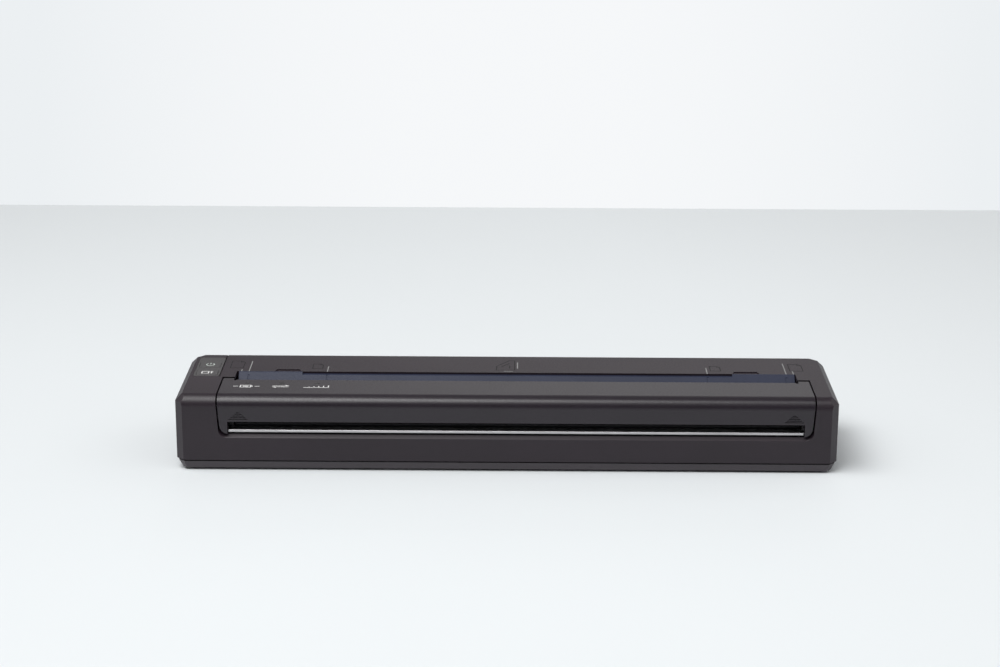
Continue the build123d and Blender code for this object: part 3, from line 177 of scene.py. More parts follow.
def two_tone(tree, value, dark, light):
    """A colour that goes from dark to light as value goes from 0 to 1."""
    mix = tree.nodes.new("ShaderNodeMix")
    mix.data_type = "RGBA"
    mix.inputs["A"].default_value = (*dark, 1)
    mix.inputs["B"].default_value = (*light, 1)
    tree.links.new(value, mix.inputs["Factor"])
    return mix.outputs["Result"]


def soft_edges(tree, radius):
    """Normals rounded near every edge, by the given radius."""
    bevel = tree.nodes.new("ShaderNodeBevel")
    bevel.samples = EDGE_SAMPLES
    bevel.inputs["Radius"].default_value = radius
    return bevel.outputs["Normal"]


def relief(tree, height, depth, normal=None):
    """Normals tilted by a height field of the given depth in metres."""
    bump = tree.nodes.new("ShaderNodeBump")
    bump.inputs["Distance"].default_value = depth
    tree.links.new(height, bump.inputs["Height"])
    if normal is not None:
        tree.links.new(normal, bump.inputs["Normal"])
    return bump.outputs["Normal"]


print("edges rounded with", EDGE_SAMPLES, "samples")

# %% [markdown]
# ## Moulded plastic
# A charcoal shell is moulded against spark-eroded steel, which leaves a fine even grain.
# The grain is what makes it look soft: each pit tilts the light a little.
# A wide, faint drift of tone stands for handling and for the flow of the melt, and the
# edges, where hands rub, are a touch lighter. How near a point is to an edge is read
# from how far the rounded normal has turned away from the true one.

# %% Plastic finish
CLOUD_SIZE = 22 * MM         # drift of the tone
SPECKLE_SIZE = 0.6 * MM      # drift of the roughness
ROUGHNESS_DRIFT = 0.05
EDGE_FACING, FLAT_FACING = 0.80, 0.97    # rounded against true normal: at an edge, and away
WORN_LIGHTER = 1.9           # colour of a fully worn edge over the plastic's own
WORN_SHARE = 0.35            # how worn the edges are


def scaled(colour, factor):
    """A colour made lighter or darker by a factor."""
    return tuple(channel * factor for channel in colour)


def plastic(name, colour, roughness, grain=0.16 * MM, depth=0.012 * MM, edge=0.25 * MM, drift=0.10,
            mirror=0.5):
    """Moulded plastic: spark grain, a slow drift of tone, and soft edges that wear lighter.

    Mirror is the shader's specular level: how strongly the skin of the plastic reflects.
    """
    material, tree, shader = new_material(name)
    shader.inputs["Specular IOR Level"].default_value = mirror
    where = place(tree)
    cloud = noise(tree, where, CLOUD_SIZE, 4.0)
    speckle = noise(tree, where, SPECKLE_SIZE, 2.0)
    body = two_tone(tree, between(tree, cloud, 0, 1), scaled(colour, 1 - drift), scaled(colour, 1 + drift))
    softened = soft_edges(tree, edge)
    true_normal = tree.nodes.new("ShaderNodeNewGeometry").outputs["True Normal"]
    facing = tree.nodes.new("ShaderNodeVectorMath")
    facing.operation = "DOT_PRODUCT"
    tree.links.new(softened, facing.inputs[0])
    tree.links.new(true_normal, facing.inputs[1])
    worn = between(tree, facing.outputs["Value"], WORN_SHARE, 0.0, EDGE_FACING, FLAT_FACING)
    mix = tree.nodes.new("ShaderNodeMix")
    mix.data_type = "RGBA"
    mix.inputs["B"].default_value = (*scaled(colour, WORN_LIGHTER), 1)
    tree.links.new(worn, mix.inputs["Factor"])
    tree.links.new(body, mix.inputs["A"])
    tree.links.new(mix.outputs["Result"], shader.inputs["Base Color"])
    tree.links.new(between(tree, speckle, roughness - ROUGHNESS_DRIFT, roughness + ROUGHNESS_DRIFT),
                   shader.inputs["Roughness"])
    pits = noise(tree, where, grain, 2.0)
    tree.links.new(relief(tree, pits, depth, softened), shader.inputs["Normal"])
    return material


WARM_CHARCOAL = (0.0180, 0.0115, 0.0172)
COOL_CHARCOAL = (0.0138, 0.0092, 0.0146)
SLATE_BLUE = (0.021, 0.026, 0.052)
PANEL_GREY = (0.056, 0.053, 0.055)
KEY_GREY = (0.054, 0.051, 0.053)
INNER_BLACK = (0.010, 0.010, 0.011)
WRAP_BLACK = (0.013, 0.014, 0.017)
GEAR_CREAM = (0.62, 0.60, 0.53)
BUSH_TAN = (0.40, 0.37, 0.30)
case_plastic = plastic("case_plastic", WARM_CHARCOAL, 0.42, edge=0.10 * MM, mirror=0.43)
# painted reflection: 1.3 times the case's colour stands in for the bright table that the base mirrors; its
# higher mirror level is real polish
base_plastic = plastic("base_plastic", scaled(WARM_CHARCOAL, 1.3), 0.38, edge=0.15 * MM, mirror=0.75)
cover_plastic = plastic("cover_plastic", COOL_CHARCOAL, 0.34, edge=0.15 * MM, mirror=0.52)
guide_plastic = plastic("guide_plastic", SLATE_BLUE, 0.50, depth=0.004 * MM, mirror=0.30)
panel_plastic = plastic("panel_plastic", PANEL_GREY, 0.42, depth=0.006 * MM, edge=0.12 * MM)
key_plastic = plastic("key_plastic", KEY_GREY, 0.40, depth=0.005 * MM, edge=0.10 * MM)
inner_plastic = plastic("inner_plastic", INNER_BLACK, 0.55)
cell_wrap = plastic("cell_wrap", WRAP_BLACK, 0.50, grain=0.3 * MM)
gear_plastic = plastic("gear_plastic", GEAR_CREAM, 0.38, depth=0.004 * MM, edge=0.06 * MM, drift=0.04)
bush_plastic = plastic("bush_plastic", BUSH_TAN, 0.36, depth=0.004 * MM, edge=0.10 * MM, drift=0.05)
print("plastics ready")

# %% [markdown]
# ## Clear smoked plastic
# The light guide is one clear moulding with a smoked tint, so its studs look black
# until the lamp below is lit. Opaque black would look the same while the lamp is off, but
# some transmission with a dark tint stays right when the cover is open.

# %% Smoked finish
SMOKE_DARK = (0.010, 0.010, 0.011)
SMOKE_LIGHT = (0.016, 0.016, 0.018)
FLOW_SIZE = 3 * MM
GUIDE_INDEX = 1.49           # refractive index of the clear plastic


def smoked(name):
    """Tinted clear plastic with faint flow lines along X."""
    material, tree, shader = new_material(name)
    flow = noise(tree, place(tree, (0.3, 1, 1)), FLOW_SIZE, 2.0)
    tint = two_tone(tree, between(tree, flow, 0, 1), SMOKE_DARK, SMOKE_LIGHT)
    tree.links.new(tint, shader.inputs["Base Color"])
    shader.inputs["Transmission Weight"].default_value = 0.3
    shader.inputs["Specular IOR Level"].default_value = 0.05
    shader.inputs["IOR"].default_value = GUIDE_INDEX
    tree.links.new(between(tree, flow, 0.08, 0.16), shader.inputs["Roughness"])
    return material


clear_plastic = smoked("clear_plastic")
print("smoked plastic ready")

# %% [markdown]
# ## Metals
# Rolled and ground steel carries fine scratches that all run one way. Noise that is
# finer across than along draws them; they tilt the light and vary the roughness.
# The tear bar has the finest scratches and the sharpest edges, so it mirrors the room as
# one bright line. The blackened metals are the same function with a dark colour; on the
# chassis and the heat sink that black is also painted shade, for the shade inside the paper exit.

# %% Metal finish
STAIN_SIZE = 9 * MM
STAIN_DARKER = 0.86          # colour of a stained place over the metal's own
SMOOTHER, ROUGHER = -0.07, 0.09          # roughness between the scratches, and in them


def metal(name, colour, roughness, grain=(1, 12, 12), size=1.2 * MM, depth=0.002 * MM, edge=0.12 * MM):
    """Metal with scratches that are long where the stretch is small."""
    material, tree, shader = new_material(name)
    where = place(tree, grain)
    scratches = noise(tree, where, size, 5.0)
    stain = noise(tree, place(tree), STAIN_SIZE, 3.0)
    tree.links.new(two_tone(tree, between(tree, stain, 0, 1), scaled(colour, STAIN_DARKER), colour),
                   shader.inputs["Base Color"])
    shader.inputs["Metallic"].default_value = 1.0
    tree.links.new(between(tree, scratches, roughness + SMOOTHER, roughness + ROUGHER),
                   shader.inputs["Roughness"])
    tree.links.new(relief(tree, scratches, depth, soft_edges(tree, edge)), shader.inputs["Normal"])
    return material


steel = metal("steel", (0.56, 0.56, 0.57), 0.34)
# painted shade: chassis and heat sink are dark metal that also stands in for the shade inside the paper
# exit
shade_black_steel = metal("shade_black_steel", (0.16, 0.155, 0.16), 0.60)
shade_black_aluminium = metal("shade_black_aluminium", (0.10, 0.10, 0.11), 0.50)
tear_steel = metal("tear_steel", (0.54, 0.53, 0.54), 0.36, grain=(1, 20, 20), edge=0.04 * MM)
shaft_steel = metal("shaft_steel", (0.62, 0.62, 0.63), 0.20, grain=(12, 1, 1), size=0.8 * MM)
spring_steel = metal("spring_steel", (0.42, 0.42, 0.44), 0.30, grain=(1, 1, 1), size=0.5 * MM)
screw_steel = metal("screw_steel", (0.10, 0.10, 0.105), 0.38, grain=(1, 1, 1), size=0.6 * MM)
contact_brass = metal("contact_brass", (0.85, 0.62, 0.27), 0.26, grain=(8, 8, 1), size=0.6 * MM)
head_aluminium = metal("head_aluminium", (0.74, 0.74, 0.75), 0.36, grain=(1, 14, 14))
motor_steel = metal("motor_steel", (0.38, 0.38, 0.39), 0.32, grain=(1, 6, 6), size=2 * MM)
print("metals ready")

# %% [markdown]
# ## Rubber
# The roller is ground to size, so its skin has fine rings round the axis. The feet
# are moulded and matt. Both scatter light widely and hardly mirror anything, and dust
# lightens them in patches. Rings are noise too, drawn finer along the axis than round it.

# %% Rubber finish
SKIN_SIZE, SKIN_DEPTH = 0.5 * MM, 0.02 * MM
DUST_SIZE = 5 * MM
DUST_LIGHTER = 1.5           # colour of a dusty place over the rubber's own
RUBBER_EDGE = 0.15 * MM


def rubber(name, colour, grain):
    """Matt rubber with a fine relief."""
    material, tree, shader = new_material(name)
    skin = noise(tree, place(tree, grain), SKIN_SIZE, 3.0)
    dust = noise(tree, place(tree), DUST_SIZE, 4.0)
    tree.links.new(two_tone(tree, between(tree, dust, 0, 1), colour, scaled(colour, DUST_LIGHTER)),
                   shader.inputs["Base Color"])
    tree.links.new(between(tree, skin, 0.62, 0.80), shader.inputs["Roughness"])
    tree.links.new(relief(tree, skin, SKIN_DEPTH, soft_edges(tree, RUBBER_EDGE)), shader.inputs["Normal"])
    return material


roller_rubber = rubber("roller_rubber", (0.030, 0.030, 0.032), (3, 0.4, 0.4))
foot_rubber = rubber("foot_rubber", (0.014, 0.014, 0.015), (1, 1, 1))
print("rubbers ready")

# %% [markdown]
# ## Board, ceramic and film
# Circuit boards show copper through green lacquer. A brick pattern whose joints are a
# little lighter and raised looks like tracks, at no cost in triangles: the boards only
# show when a cover is open. The heater strip is ceramic under a dark glaze, whose dark
# tone is partly painted shade for the shade under the cover. The head's cable is amber
# film with copper lines along it.

# %% Board, glaze and film finishes
BRICK_UNIT = 6 * MM          # the pattern's unit; a brick is half of it long
JOINT_WIDTH = 0.06           # joint between two bricks, in such units
JOINT_DEPTH = 0.02 * MM      # how far the joints stand up
BRICK_GREENS = ((0.012, 0.085, 0.035), (0.010, 0.070, 0.030))
JOINT_GREEN = (0.035, 0.17, 0.07)
WEAVE_SIZE = 0.8 * MM
GLAZE_DARK, GLAZE_LIGHT = (0.016, 0.015, 0.016), (0.024, 0.022, 0.022)
GLAZE_DRIFT = 6 * MM
AMBER_DARK, AMBER_LIGHT = (0.30, 0.12, 0.02), (0.48, 0.22, 0.05)
WAVE_UNIT = 6 * MM           # the wave pattern's unit; a wave is about a third of it


def board(name):
    """Green lacquer, lighter where it runs over a copper track."""
    material, tree, shader = new_material(name)
    tracks = tree.nodes.new("ShaderNodeTexBrick")
    tracks.inputs["Scale"].default_value = 1 / BRICK_UNIT
    tracks.inputs["Mortar Size"].default_value = JOINT_WIDTH
    for socket, green in zip(("Color1", "Color2", "Mortar"), (*BRICK_GREENS, JOINT_GREEN)):
        tracks.inputs[socket].default_value = (*green, 1)
    tree.links.new(place(tree), tracks.inputs["Vector"])
    tree.links.new(tracks.outputs["Color"], shader.inputs["Base Color"])
    weave = noise(tree, place(tree), WEAVE_SIZE, 2.0)
    tree.links.new(between(tree, weave, 0.22, 0.38), shader.inputs["Roughness"])
    tree.links.new(relief(tree, tracks.outputs["Fac"], JOINT_DEPTH), shader.inputs["Normal"])
    return material


def glaze(name):
    """Dark glaze, glossy, with a slow drift; its dark tone is partly painted shade."""
    material, tree, shader = new_material(name)
    drift = noise(tree, place(tree), GLAZE_DRIFT, 3.0)
    tree.links.new(two_tone(tree, between(tree, drift, 0, 1), GLAZE_DARK, GLAZE_LIGHT),
                   shader.inputs["Base Color"])
    tree.links.new(between(tree, drift, 0.10, 0.20), shader.inputs["Roughness"])
    return material


def film(name):
    """Amber film over thin copper lines that run down the cable."""
    material, tree, shader = new_material(name)
    lines = tree.nodes.new("ShaderNodeTexWave")
    lines.bands_direction = "X"
    lines.inputs["Scale"].default_value = 1 / WAVE_UNIT
    lines.inputs["Distortion"].default_value = 0.0
    tree.links.new(place(tree), lines.inputs["Vector"])
    tree.links.new(two_tone(tree, lines.outputs["Fac"], AMBER_DARK, AMBER_LIGHT),
                   shader.inputs["Base Color"])
    tree.links.new(between(tree, lines.outputs["Fac"], 0.22, 0.32, 0, 1), shader.inputs["Roughness"])
    return material


board_laminate = board("board_laminate")
# painted shade: the glaze's near-black tone also stands in for the shade under the cover
head_glaze = glaze("head_glaze")
cable_film = film("cable_film")
print("boards, glaze and film ready")

# %% [markdown]
# ## Giving each piece its finish
# The record already says which material slot each piece takes, and the finishes above
# have the same names, so one loop joins the two. Three pieces then get a finish of
# their own. The base tray is smoother than the rest of the case; it is also lighter, and
# that lighter colour is painted reflection of the bright table. The chassis and the heat
# sink are blackened, so that nothing inside the paper exit catches the light: their black
# is partly painted shade, standing in for the shade deep inside the exit.

# %% Finishes onto the pieces
finishes = {material.name: material for material in (
    case_plastic, cover_plastic, guide_plastic, panel_plastic, key_plastic, clear_plastic,
    inner_plastic, gear_plastic, bush_plastic, roller_rubber, foot_rubber, steel, tear_steel,
    shaft_steel, spring_steel, screw_steel, contact_brass, head_aluminium, head_glaze,
    board_laminate, cable_film, cell_wrap, motor_steel)}
for subpart in frame["record"]["subparts"]:
    piece = nodes[subpart["node"]]
    piece.data.materials.clear()
    piece.data.materials.append(finishes[subpart["material_slot"]])
# painted reflection: the base tray's lighter colour stands in for the table it mirrors
nodes["bottom_cover"].data.materials[0] = base_plastic
# painted shade: the blackened chassis and heat sink stand in for the shade deep inside the paper exit
nodes["mechanism_chassis"].data.materials[0] = shade_black_steel
nodes["head_heatsink"].data.materials[0] = shade_black_aluminium
print(len(finishes), "finishes on", len(nodes), "pieces")

# %% [markdown]
# ## Springs under the print head
# Four coil springs press the head up against the roller. The construction's springs are
# stiff, so they are wound anew here as surfaces: one wire in a helix whose ends lie level.
# The whole tube is one function of two angles, one along the wire and one round it.

# %% Wound wire
SPRING_COUNT = 4
SPRING_TURNS = 4.5
LEVEL_TURNS = 0.5                     # at each end, before the wire starts to climb
SPRING_WIRE = 0.5 * MM                # thickness
RINGS_PER_TURN, WIRE_SIDES = 26, 8


def wound_wire(x, y, low, high, radius, wire, turns):
    """Tube round a helix: angle t runs along the wire, angle s round it.

    The middle of the wire is radius * (cos t, sin t) from x, y, and climbs from low to
    high between its level ends. The surface adds half a wire outwards times cos s, and
    half a wire upwards times sin s.
    """
    rings = int(RINGS_PER_TURN * turns) + 1
    t = np.linspace(0, 2 * np.pi * turns, rings)[:, None]
    s = np.linspace(0, 2 * np.pi, WIRE_SIDES, endpoint=False)[None, :]
    climb = np.clip((t / (2 * np.pi) - LEVEL_TURNS) / (turns - 2 * LEVEL_TURNS), 0, 1)
    reach = radius + wire / 2 * np.cos(s)
    height = low + wire / 2 + (high - low - wire) * climb + wire / 2 * np.sin(s)
    points = np.stack([x + reach * np.cos(t), y + reach * np.sin(t), height], axis=-1)
    ring, side = np.meshgrid(np.arange(rings - 1), np.arange(WIRE_SIDES), indexing="ij")
    after = (side + 1) % WIRE_SIDES
    corners = [ring * WIRE_SIDES + side, (ring + 1) * WIRE_SIDES + side,
               (ring + 1) * WIRE_SIDES + after, ring * WIRE_SIDES + after]
    quads = np.stack(corners, axis=-1).reshape(-1, 4)
    caps = [np.arange(WIRE_SIDES), np.arange(WIRE_SIDES)[::-1] + (rings - 1) * WIRE_SIDES]
    return points.reshape(-1, 3), quads, caps


print(SPRING_COUNT, "springs of", SPRING_TURNS, "turns")

# %% [markdown]
# ## The springs in their place
# The wound springs stand where the stiff ones stand, spaced evenly along the head.

spring_low, spring_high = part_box("head_springs")
spring_radius = (spring_high.y - spring_low.y) / 2
spring_y = (spring_low.y + spring_high.y) / 2
spring_points, spring_faces, offset = [], [], 0
for x in np.linspace(spring_low.x + spring_radius, spring_high.x - spring_radius, SPRING_COUNT):
    points, quads, caps = wound_wire(x, spring_y, spring_low.z, spring_high.z,
                                     spring_radius - SPRING_WIRE / 2, SPRING_WIRE, SPRING_TURNS)
    spring_points.append(points)
    spring_faces += (quads + offset).tolist() + [(cap + offset).tolist() for cap in caps]
    offset += len(points)
spring_mesh = bpy.data.meshes.new("wound_springs")
spring_mesh.from_pydata(np.concatenate(spring_points).tolist(), [], spring_faces)
spring_mesh.materials.append(finishes["spring_steel"])
for polygon in spring_mesh.polygons:
    polygon.use_smooth = len(polygon.vertices) == 4
springs = put("wound_springs", spring_mesh)
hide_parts("head_springs")
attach(springs, "case")
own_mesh(springs)
print("springs", round((spring_high.z - spring_low.z) / MM, 2), "mm high")

# %% [markdown]
# ## Printed marks
# The marks on the case are pad-printed ink: a film with a real, tiny thickness. The
# near-black signs are the same film used as painted shade, for the shade in engraved lines.
# A picture of the marks could be laid on the case, but a film of its own stays sharp at
# any distance. Each stroke is a ribbon along a path, which can be open, like a line, or
# closed, like a ring.

# %% Ribbons of ink
SHARPEST_MITRE = 0.3         # least cosine, so that a sharp corner doesn't shoot out


def ribbon(path, width, closed=False):
    """Corners of a flat band of the given width along a path.

    At each point the band spreads to both sides along the mitre, the direction halfway
    between the normals of the two strokes that meet there, divided by the cosine of
    half their turn so that the width stays the same round the corner.
    """
    path = np.asarray(path, float)
    ahead = np.roll(path, -1, axis=0) - path
    if not closed:
        ahead[-1] = ahead[-2]
    ahead /= np.linalg.norm(ahead, axis=1)[:, None]
    behind = np.roll(ahead, 1, axis=0)
    if not closed:
        behind[0] = ahead[0]
    normals = np.stack([-ahead[:, 1] - behind[:, 1], ahead[:, 0] + behind[:, 0]], axis=1)
    normals /= np.linalg.norm(normals, axis=1)[:, None]
    across = np.stack([-ahead[:, 1], ahead[:, 0]], axis=1)
    reach = width / 2 / np.maximum((normals * across).sum(axis=1), SHARPEST_MITRE)
    return path - normals * reach[:, None], path + normals * reach[:, None]


corner = [side[1] for side in ribbon([(0, 0), (1, 0), (1, 1)], 0.2)]
print("a stroke 0.2 wide is", round(math.dist(*corner), 3), "wide across a square corner")

# %% [markdown]
# ## From ribbons to printed pieces
# A ribbon becomes a closed prism 0.03 mm thick, whose foot is sunk in the plastic, so no
# gap shows under it from any side. All strokes of one mark are joined in one mesh, which
# rides on the piece that it is printed on.

# %% Printed pieces
INK_LIFT = 0.015 * MM        # ink above the surface
INK_SINK = 0.015 * MM        # and its foot below it
STROKE = 0.42 * MM           # usual width of a stroke


def prism_strip(sides, low_z, high_z, closed):
    """Vertices and quads of a band with a flat top, a flat foot and upright edges."""
    right, left = sides
    count = len(right)
    corners = [(right, high_z), (left, high_z), (left, low_z), (right, low_z)]
    points = np.concatenate([np.column_stack([xy, np.full(count, z)]) for xy, z in corners])
    steps = np.arange(count if closed else count - 1)
    following = (steps + 1) % count
    quads = [np.stack([a * count + steps, a * count + following, b * count + following,
                       b * count + steps], axis=1) for a, b in ((0, 1), (1, 2), (2, 3), (3, 0))]
    quads = np.concatenate(quads)
    if not closed:
        last = count - 1
        ends = [[0, count, 2 * count, 3 * count],
                [3 * count + last, 2 * count + last, count + last, last]]
        quads = np.concatenate([quads, np.array(ends)])
    return points, quads


def ink_piece(name, strokes, surface_z, width, material, body):
    """One printed mark: every stroke a ribbon, all joined in one mesh that rides a body.

    The strokes' points are in millimetres; all else is in metres.
    """
    all_points, all_quads, offset = [], [], 0
    for path, closed in strokes:
        points, quads = prism_strip(ribbon(np.asarray(path) * MM, width, closed),
                                    surface_z - INK_SINK, surface_z + INK_LIFT, closed)
        all_points.append(points)
        all_quads.append(quads + offset)
        offset += len(points)
    mesh = bpy.data.meshes.new(name)
    mesh.from_pydata(np.concatenate(all_points).tolist(), [], np.concatenate(all_quads).tolist())
    mesh.materials.append(material)
    mesh.validate()
    mesh.update()
    piece = put(name, mesh)
    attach(piece, body)


print("ink", round((INK_LIFT + INK_SINK) / MM, 3), "mm thick")

# %% [markdown]
# ## Ink
# Pad-printed ink is flat and slightly uneven: thin in places, with a soft matt face.
# Noise at the scale of a pad's smears darkens it a little and changes its roughness.

# %% Ink finish
SMEAR_SIZE = 0.7 * MM
THIN_INK = 0.78              # colour where the ink is thin over its full colour


def ink(name, colour):
    """Matt ink that is a little thinner in places."""
    material, tree, shader = new_material(name)
    thin = noise(tree, place(tree), SMEAR_SIZE, 3.0)
    tree.links.new(two_tone(tree, between(tree, thin, 0, 1), scaled(colour, THIN_INK), colour),
                   shader.inputs["Base Color"])
    tree.links.new(between(tree, thin, 0.55, 0.70), shader.inputs["Roughness"])
    return material


white_ink = ink("white_ink", (0.78, 0.78, 0.77))
grey_ink = ink("grey_ink", (0.26, 0.26, 0.26))
key_ink = ink("key_ink", (0.50, 0.56, 0.52))
# painted shade: a near-black film that stands in for the shade inside engraved lines
engraving_shade_ink = ink("engraving_shade_ink", (0.006, 0.005, 0.006))
print("inks ready")

# %% [markdown]
# ## Sheet-edge lines behind the slot
# Lines on the housing show where the edge of each sheet size runs. They start at the
# slot's rear edge and run back. Their places are measured from the ends of the cover,
# so the lines stay beside the slot if the bar gets longer.

# %% Sheet-edge lines
LINE_START = 0.05                     # mm behind the paper guide
LEFT_LINES = ((9.0, 13.2), (6.0, 2.2), (40.0, 6.8))     # mm from the cover's end, and length
RIGHT_LINES = ((7.8, 14.0), (4.9, 4.4), (39.0, 7.8))
left_end, right_end = cover_low.x / MM, cover_high.x / MM
line_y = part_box("paper_guide")[1].y / MM + LINE_START
edge_lines = [(left_end + offset, length) for offset, length in LEFT_LINES]
edge_lines += [(right_end - offset, length) for offset, length in RIGHT_LINES]
strokes = [([(x, line_y), (x, line_y + length)], False) for x, length in edge_lines]
ink_piece("sheet_edge_lines", strokes, top_z, STROKE, grey_ink, "case")
print(len(strokes), "sheet-edge lines")

# %% [markdown]
# ## Small signs beside the lines
# Small dark signs that hardly show tell what the lines are for: sheets with a folded
# corner, drawn as a near-black film that is painted shade, for the shade in engraved lines.
# One function draws a sheet of any size as a closed outline and its fold, so the large
# and the small sheet are one drawing.

# %% Sheet signs
LARGE_SHEET = (5.2, 9.0, 1.6)         # width, length and fold, mm
SMALL_SHEET = (4.0, 6.0, 1.2)
SIGN_WIDTH = 0.36 * MM                # stroke
LARGE_Y, SMALL_Y = 9.0, 8.6           # front edges, mm
LARGE_LEFT, SMALL_LEFT = 1.0, 33.8    # left edges, from the cover's left end
LARGE_RIGHT, SMALL_RIGHT = 5.8, 37.4  # left edges, from its right end


def sheet_sign(x, y, width, length, fold):
    """Outline of a sheet with its front left corner at x, y, and the crease of one folded corner."""
    right, back = x + width, y + length
    outline = [(x, y), (right, y), (right, back - fold), (right - fold, back), (x, back)]
    crease = [(right - fold, back), (right - fold, back - fold), (right, back - fold)]
    return [(outline, True), (crease, False)]


signs = sheet_sign(left_end + LARGE_LEFT, LARGE_Y, *LARGE_SHEET)
signs += sheet_sign(left_end + SMALL_LEFT, SMALL_Y, *SMALL_SHEET)
signs += sheet_sign(right_end - SMALL_RIGHT, SMALL_Y, *SMALL_SHEET)
signs += sheet_sign(right_end - LARGE_RIGHT, LARGE_Y, *LARGE_SHEET)
# painted shade: the sheet signs' dark outlines stand in for shaded engraved lines
ink_piece("sheet_signs", signs, top_z, SIGN_WIDTH, engraving_shade_ink, "case")
print(len(signs) // 2, "sheet signs")

# %% [markdown]
# ## The feeding sign in the middle
# A sheet with one corner cut away, beside an upright bar, shows how to lay the paper
# against the stop. It has a shape of its own, so its few points are written out.

# %% Feeding sign
BAR_WIDTH = 0.5 * MM
SHEET_OUTLINE = [(-4.2, 8.2), (-4.2, 13.0), (0.8, 20.6), (3.0, 20.6), (3.0, 8.2)]     # mm
SHEET_EDGE = [(-2.4, 12.2), (0.9, 17.2)]
SHEET_LINE = [(1.0, 10.4), (1.0, 14.0)]
STOP_BAR = [(4.1, 10.2), (4.1, 18.2)]
SLOT_BAR = [(-1.4, 6.6), (2.2, 6.6)]
# painted shade: the sheet's dark outline stands in for shaded engraved lines; the bars are grey ink
ink_piece("feeding_sign", [(SHEET_OUTLINE, True), (SHEET_EDGE, False), (SHEET_LINE, False)],
          top_z, STROKE, engraving_shade_ink, "case")
ink_piece("feeding_sign_bars", [(STOP_BAR, False), (SLOT_BAR, False)],
          top_z, BAR_WIDTH, grey_ink, "case")
print("feeding sign printed")

# %% [markdown]
# ## Signs under the lamps
# Three lamps need three meanings, so each window has a small white sign in front of
# it: a battery, two opposed arrows, and a row of rising bars. Signs need no words. Each
# is a short function of its middle, so it can be moved as a whole.

# %% Lamp signs
LAMP_OFFSETS = (9.9, 23.3, 37.2)      # middles of the signs from the cover's left end, mm
SIGN_BACK = 13.1                      # behind the front face, mm
BAR_COUNT, BAR_PITCH, BAR_STEP = 6, 1.85, 0.42
sign_y = front_y / MM + SIGN_BACK


def battery_sign(x, y):
    """A lying battery between two dashes."""
    cell = [(x - 2.2, y - 1.2), (x + 1.8, y - 1.2), (x + 1.8, y + 1.2), (x - 2.2, y + 1.2)]
    pole = [(x + 2.35, y - 0.6), (x + 2.35, y + 0.6)]
    charge = [[(x - 1.3, y + side), (x + 0.9, y + side)] for side in (-0.3, 0.3)]
    dashes = [[(x - 5.0, y), (x - 3.1, y)], [(x + 3.3, y), (x + 5.2, y)]]
    return [(cell, True), (pole, False)] + [(line, False) for line in charge + dashes]


def arrows_sign(x, y):
    """Two arrows that pass each other."""
    there = [(x - 3.2, y + 0.6), (x + 3.0, y + 0.6)]
    back = [(x - 3.0, y - 0.6), (x + 3.2, y - 0.6)]
    return [(there, False), ([(x + 1.7, y + 1.5), (x + 3.2, y + 0.6)], False),
            (back, False), ([(x - 1.7, y - 1.5), (x - 3.2, y - 0.6)], False)]


def bars_sign(x, y):
    """A row of bars that grow to the right."""
    first, foot = x - 4.6, y - 1.2
    bars = []
    for step in range(BAR_COUNT):
        bar_x = first + BAR_PITCH * step
        bars.append(([(bar_x, foot), (bar_x, foot + BAR_STEP * (step + 1))], False))
    return bars + [([(x - 5.0, foot), (x + 5.0, foot)], False)]


signs = []
for draw, offset in zip((battery_sign, arrows_sign, bars_sign), LAMP_OFFSETS):
    signs += draw(left_end + offset, sign_y)
ink_piece("lamp_signs", signs, top_z, STROKE, white_ink, "release_cover")
print(len(LAMP_OFFSETS), "lamp signs")

# %% [markdown]
# ## Signs on the keys
# The power key has the usual ring with a bar through its gap, and the feed key a sheet
# with an arrow. Each rides on its own key, so it goes down with it. The keys stand
# highest of all, so their ink is sunk deeper and hardly makes the printer taller.

# %% Key signs
KEY_INK_SUNK = 0.009 * MM             # deeper than on the other pieces
FEED_STROKE = 0.40 * MM
RING_RADIUS = 1.55                    # mm
RING_START, RING_STOP = 125, 415      # degrees; the gap is at the back


def arc(x, y, radius, start, stop, count=20):
    """Points on a circle about x, y from the start angle to the stop angle, in degrees."""
    turn = np.radians(np.linspace(start, stop, count))
    return np.column_stack([x + radius * np.cos(turn), y + radius * np.sin(turn)])


def middle(node):
    """Middle of a piece in X and Y, in millimetres, and its top in metres."""
    low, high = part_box(node)
    return (low.x + high.x) / 2 / MM, (low.y + high.y) / 2 / MM, high.z


key_x, key_y, key_top = middle("power_button")
ring = arc(key_x, key_y - 0.1, RING_RADIUS, RING_START, RING_STOP)
bar = [(key_x, key_y + 0.1), (key_x, key_y + 1.9)]
ink_piece("power_sign", [(ring, False), (bar, False)],
          key_top - KEY_INK_SUNK, STROKE, key_ink, "power_button")
key_x, key_y, key_top = middle("feed_button")
page = [(key_x - 2.1, key_y - 1.2), (key_x + 0.5, key_y - 1.2), (key_x + 0.5, key_y + 1.2),
        (key_x - 2.1, key_y + 1.2)]
shaft = [(key_x + 1.7, key_y - 1.3), (key_x + 1.7, key_y + 1.2)]
point = [(key_x + 1.2, key_y + 0.5), (key_x + 1.7, key_y + 1.3), (key_x + 2.2, key_y + 0.5)]
ink_piece("feed_sign", [(page, True), (shaft, False), (point, False)],
          key_top - KEY_INK_SUNK, FEED_STROKE, white_ink, "feed_button")
print("signs printed")

# %% [markdown]
# ## The table
# A pale table carries the printer and ends in a clean edge behind it. Its white is not
# even: it is a little darker at the front and towards the lamp, which makes it look
# level under a light that comes from one side. A second lamp would level it too, but
# would also light the printer.

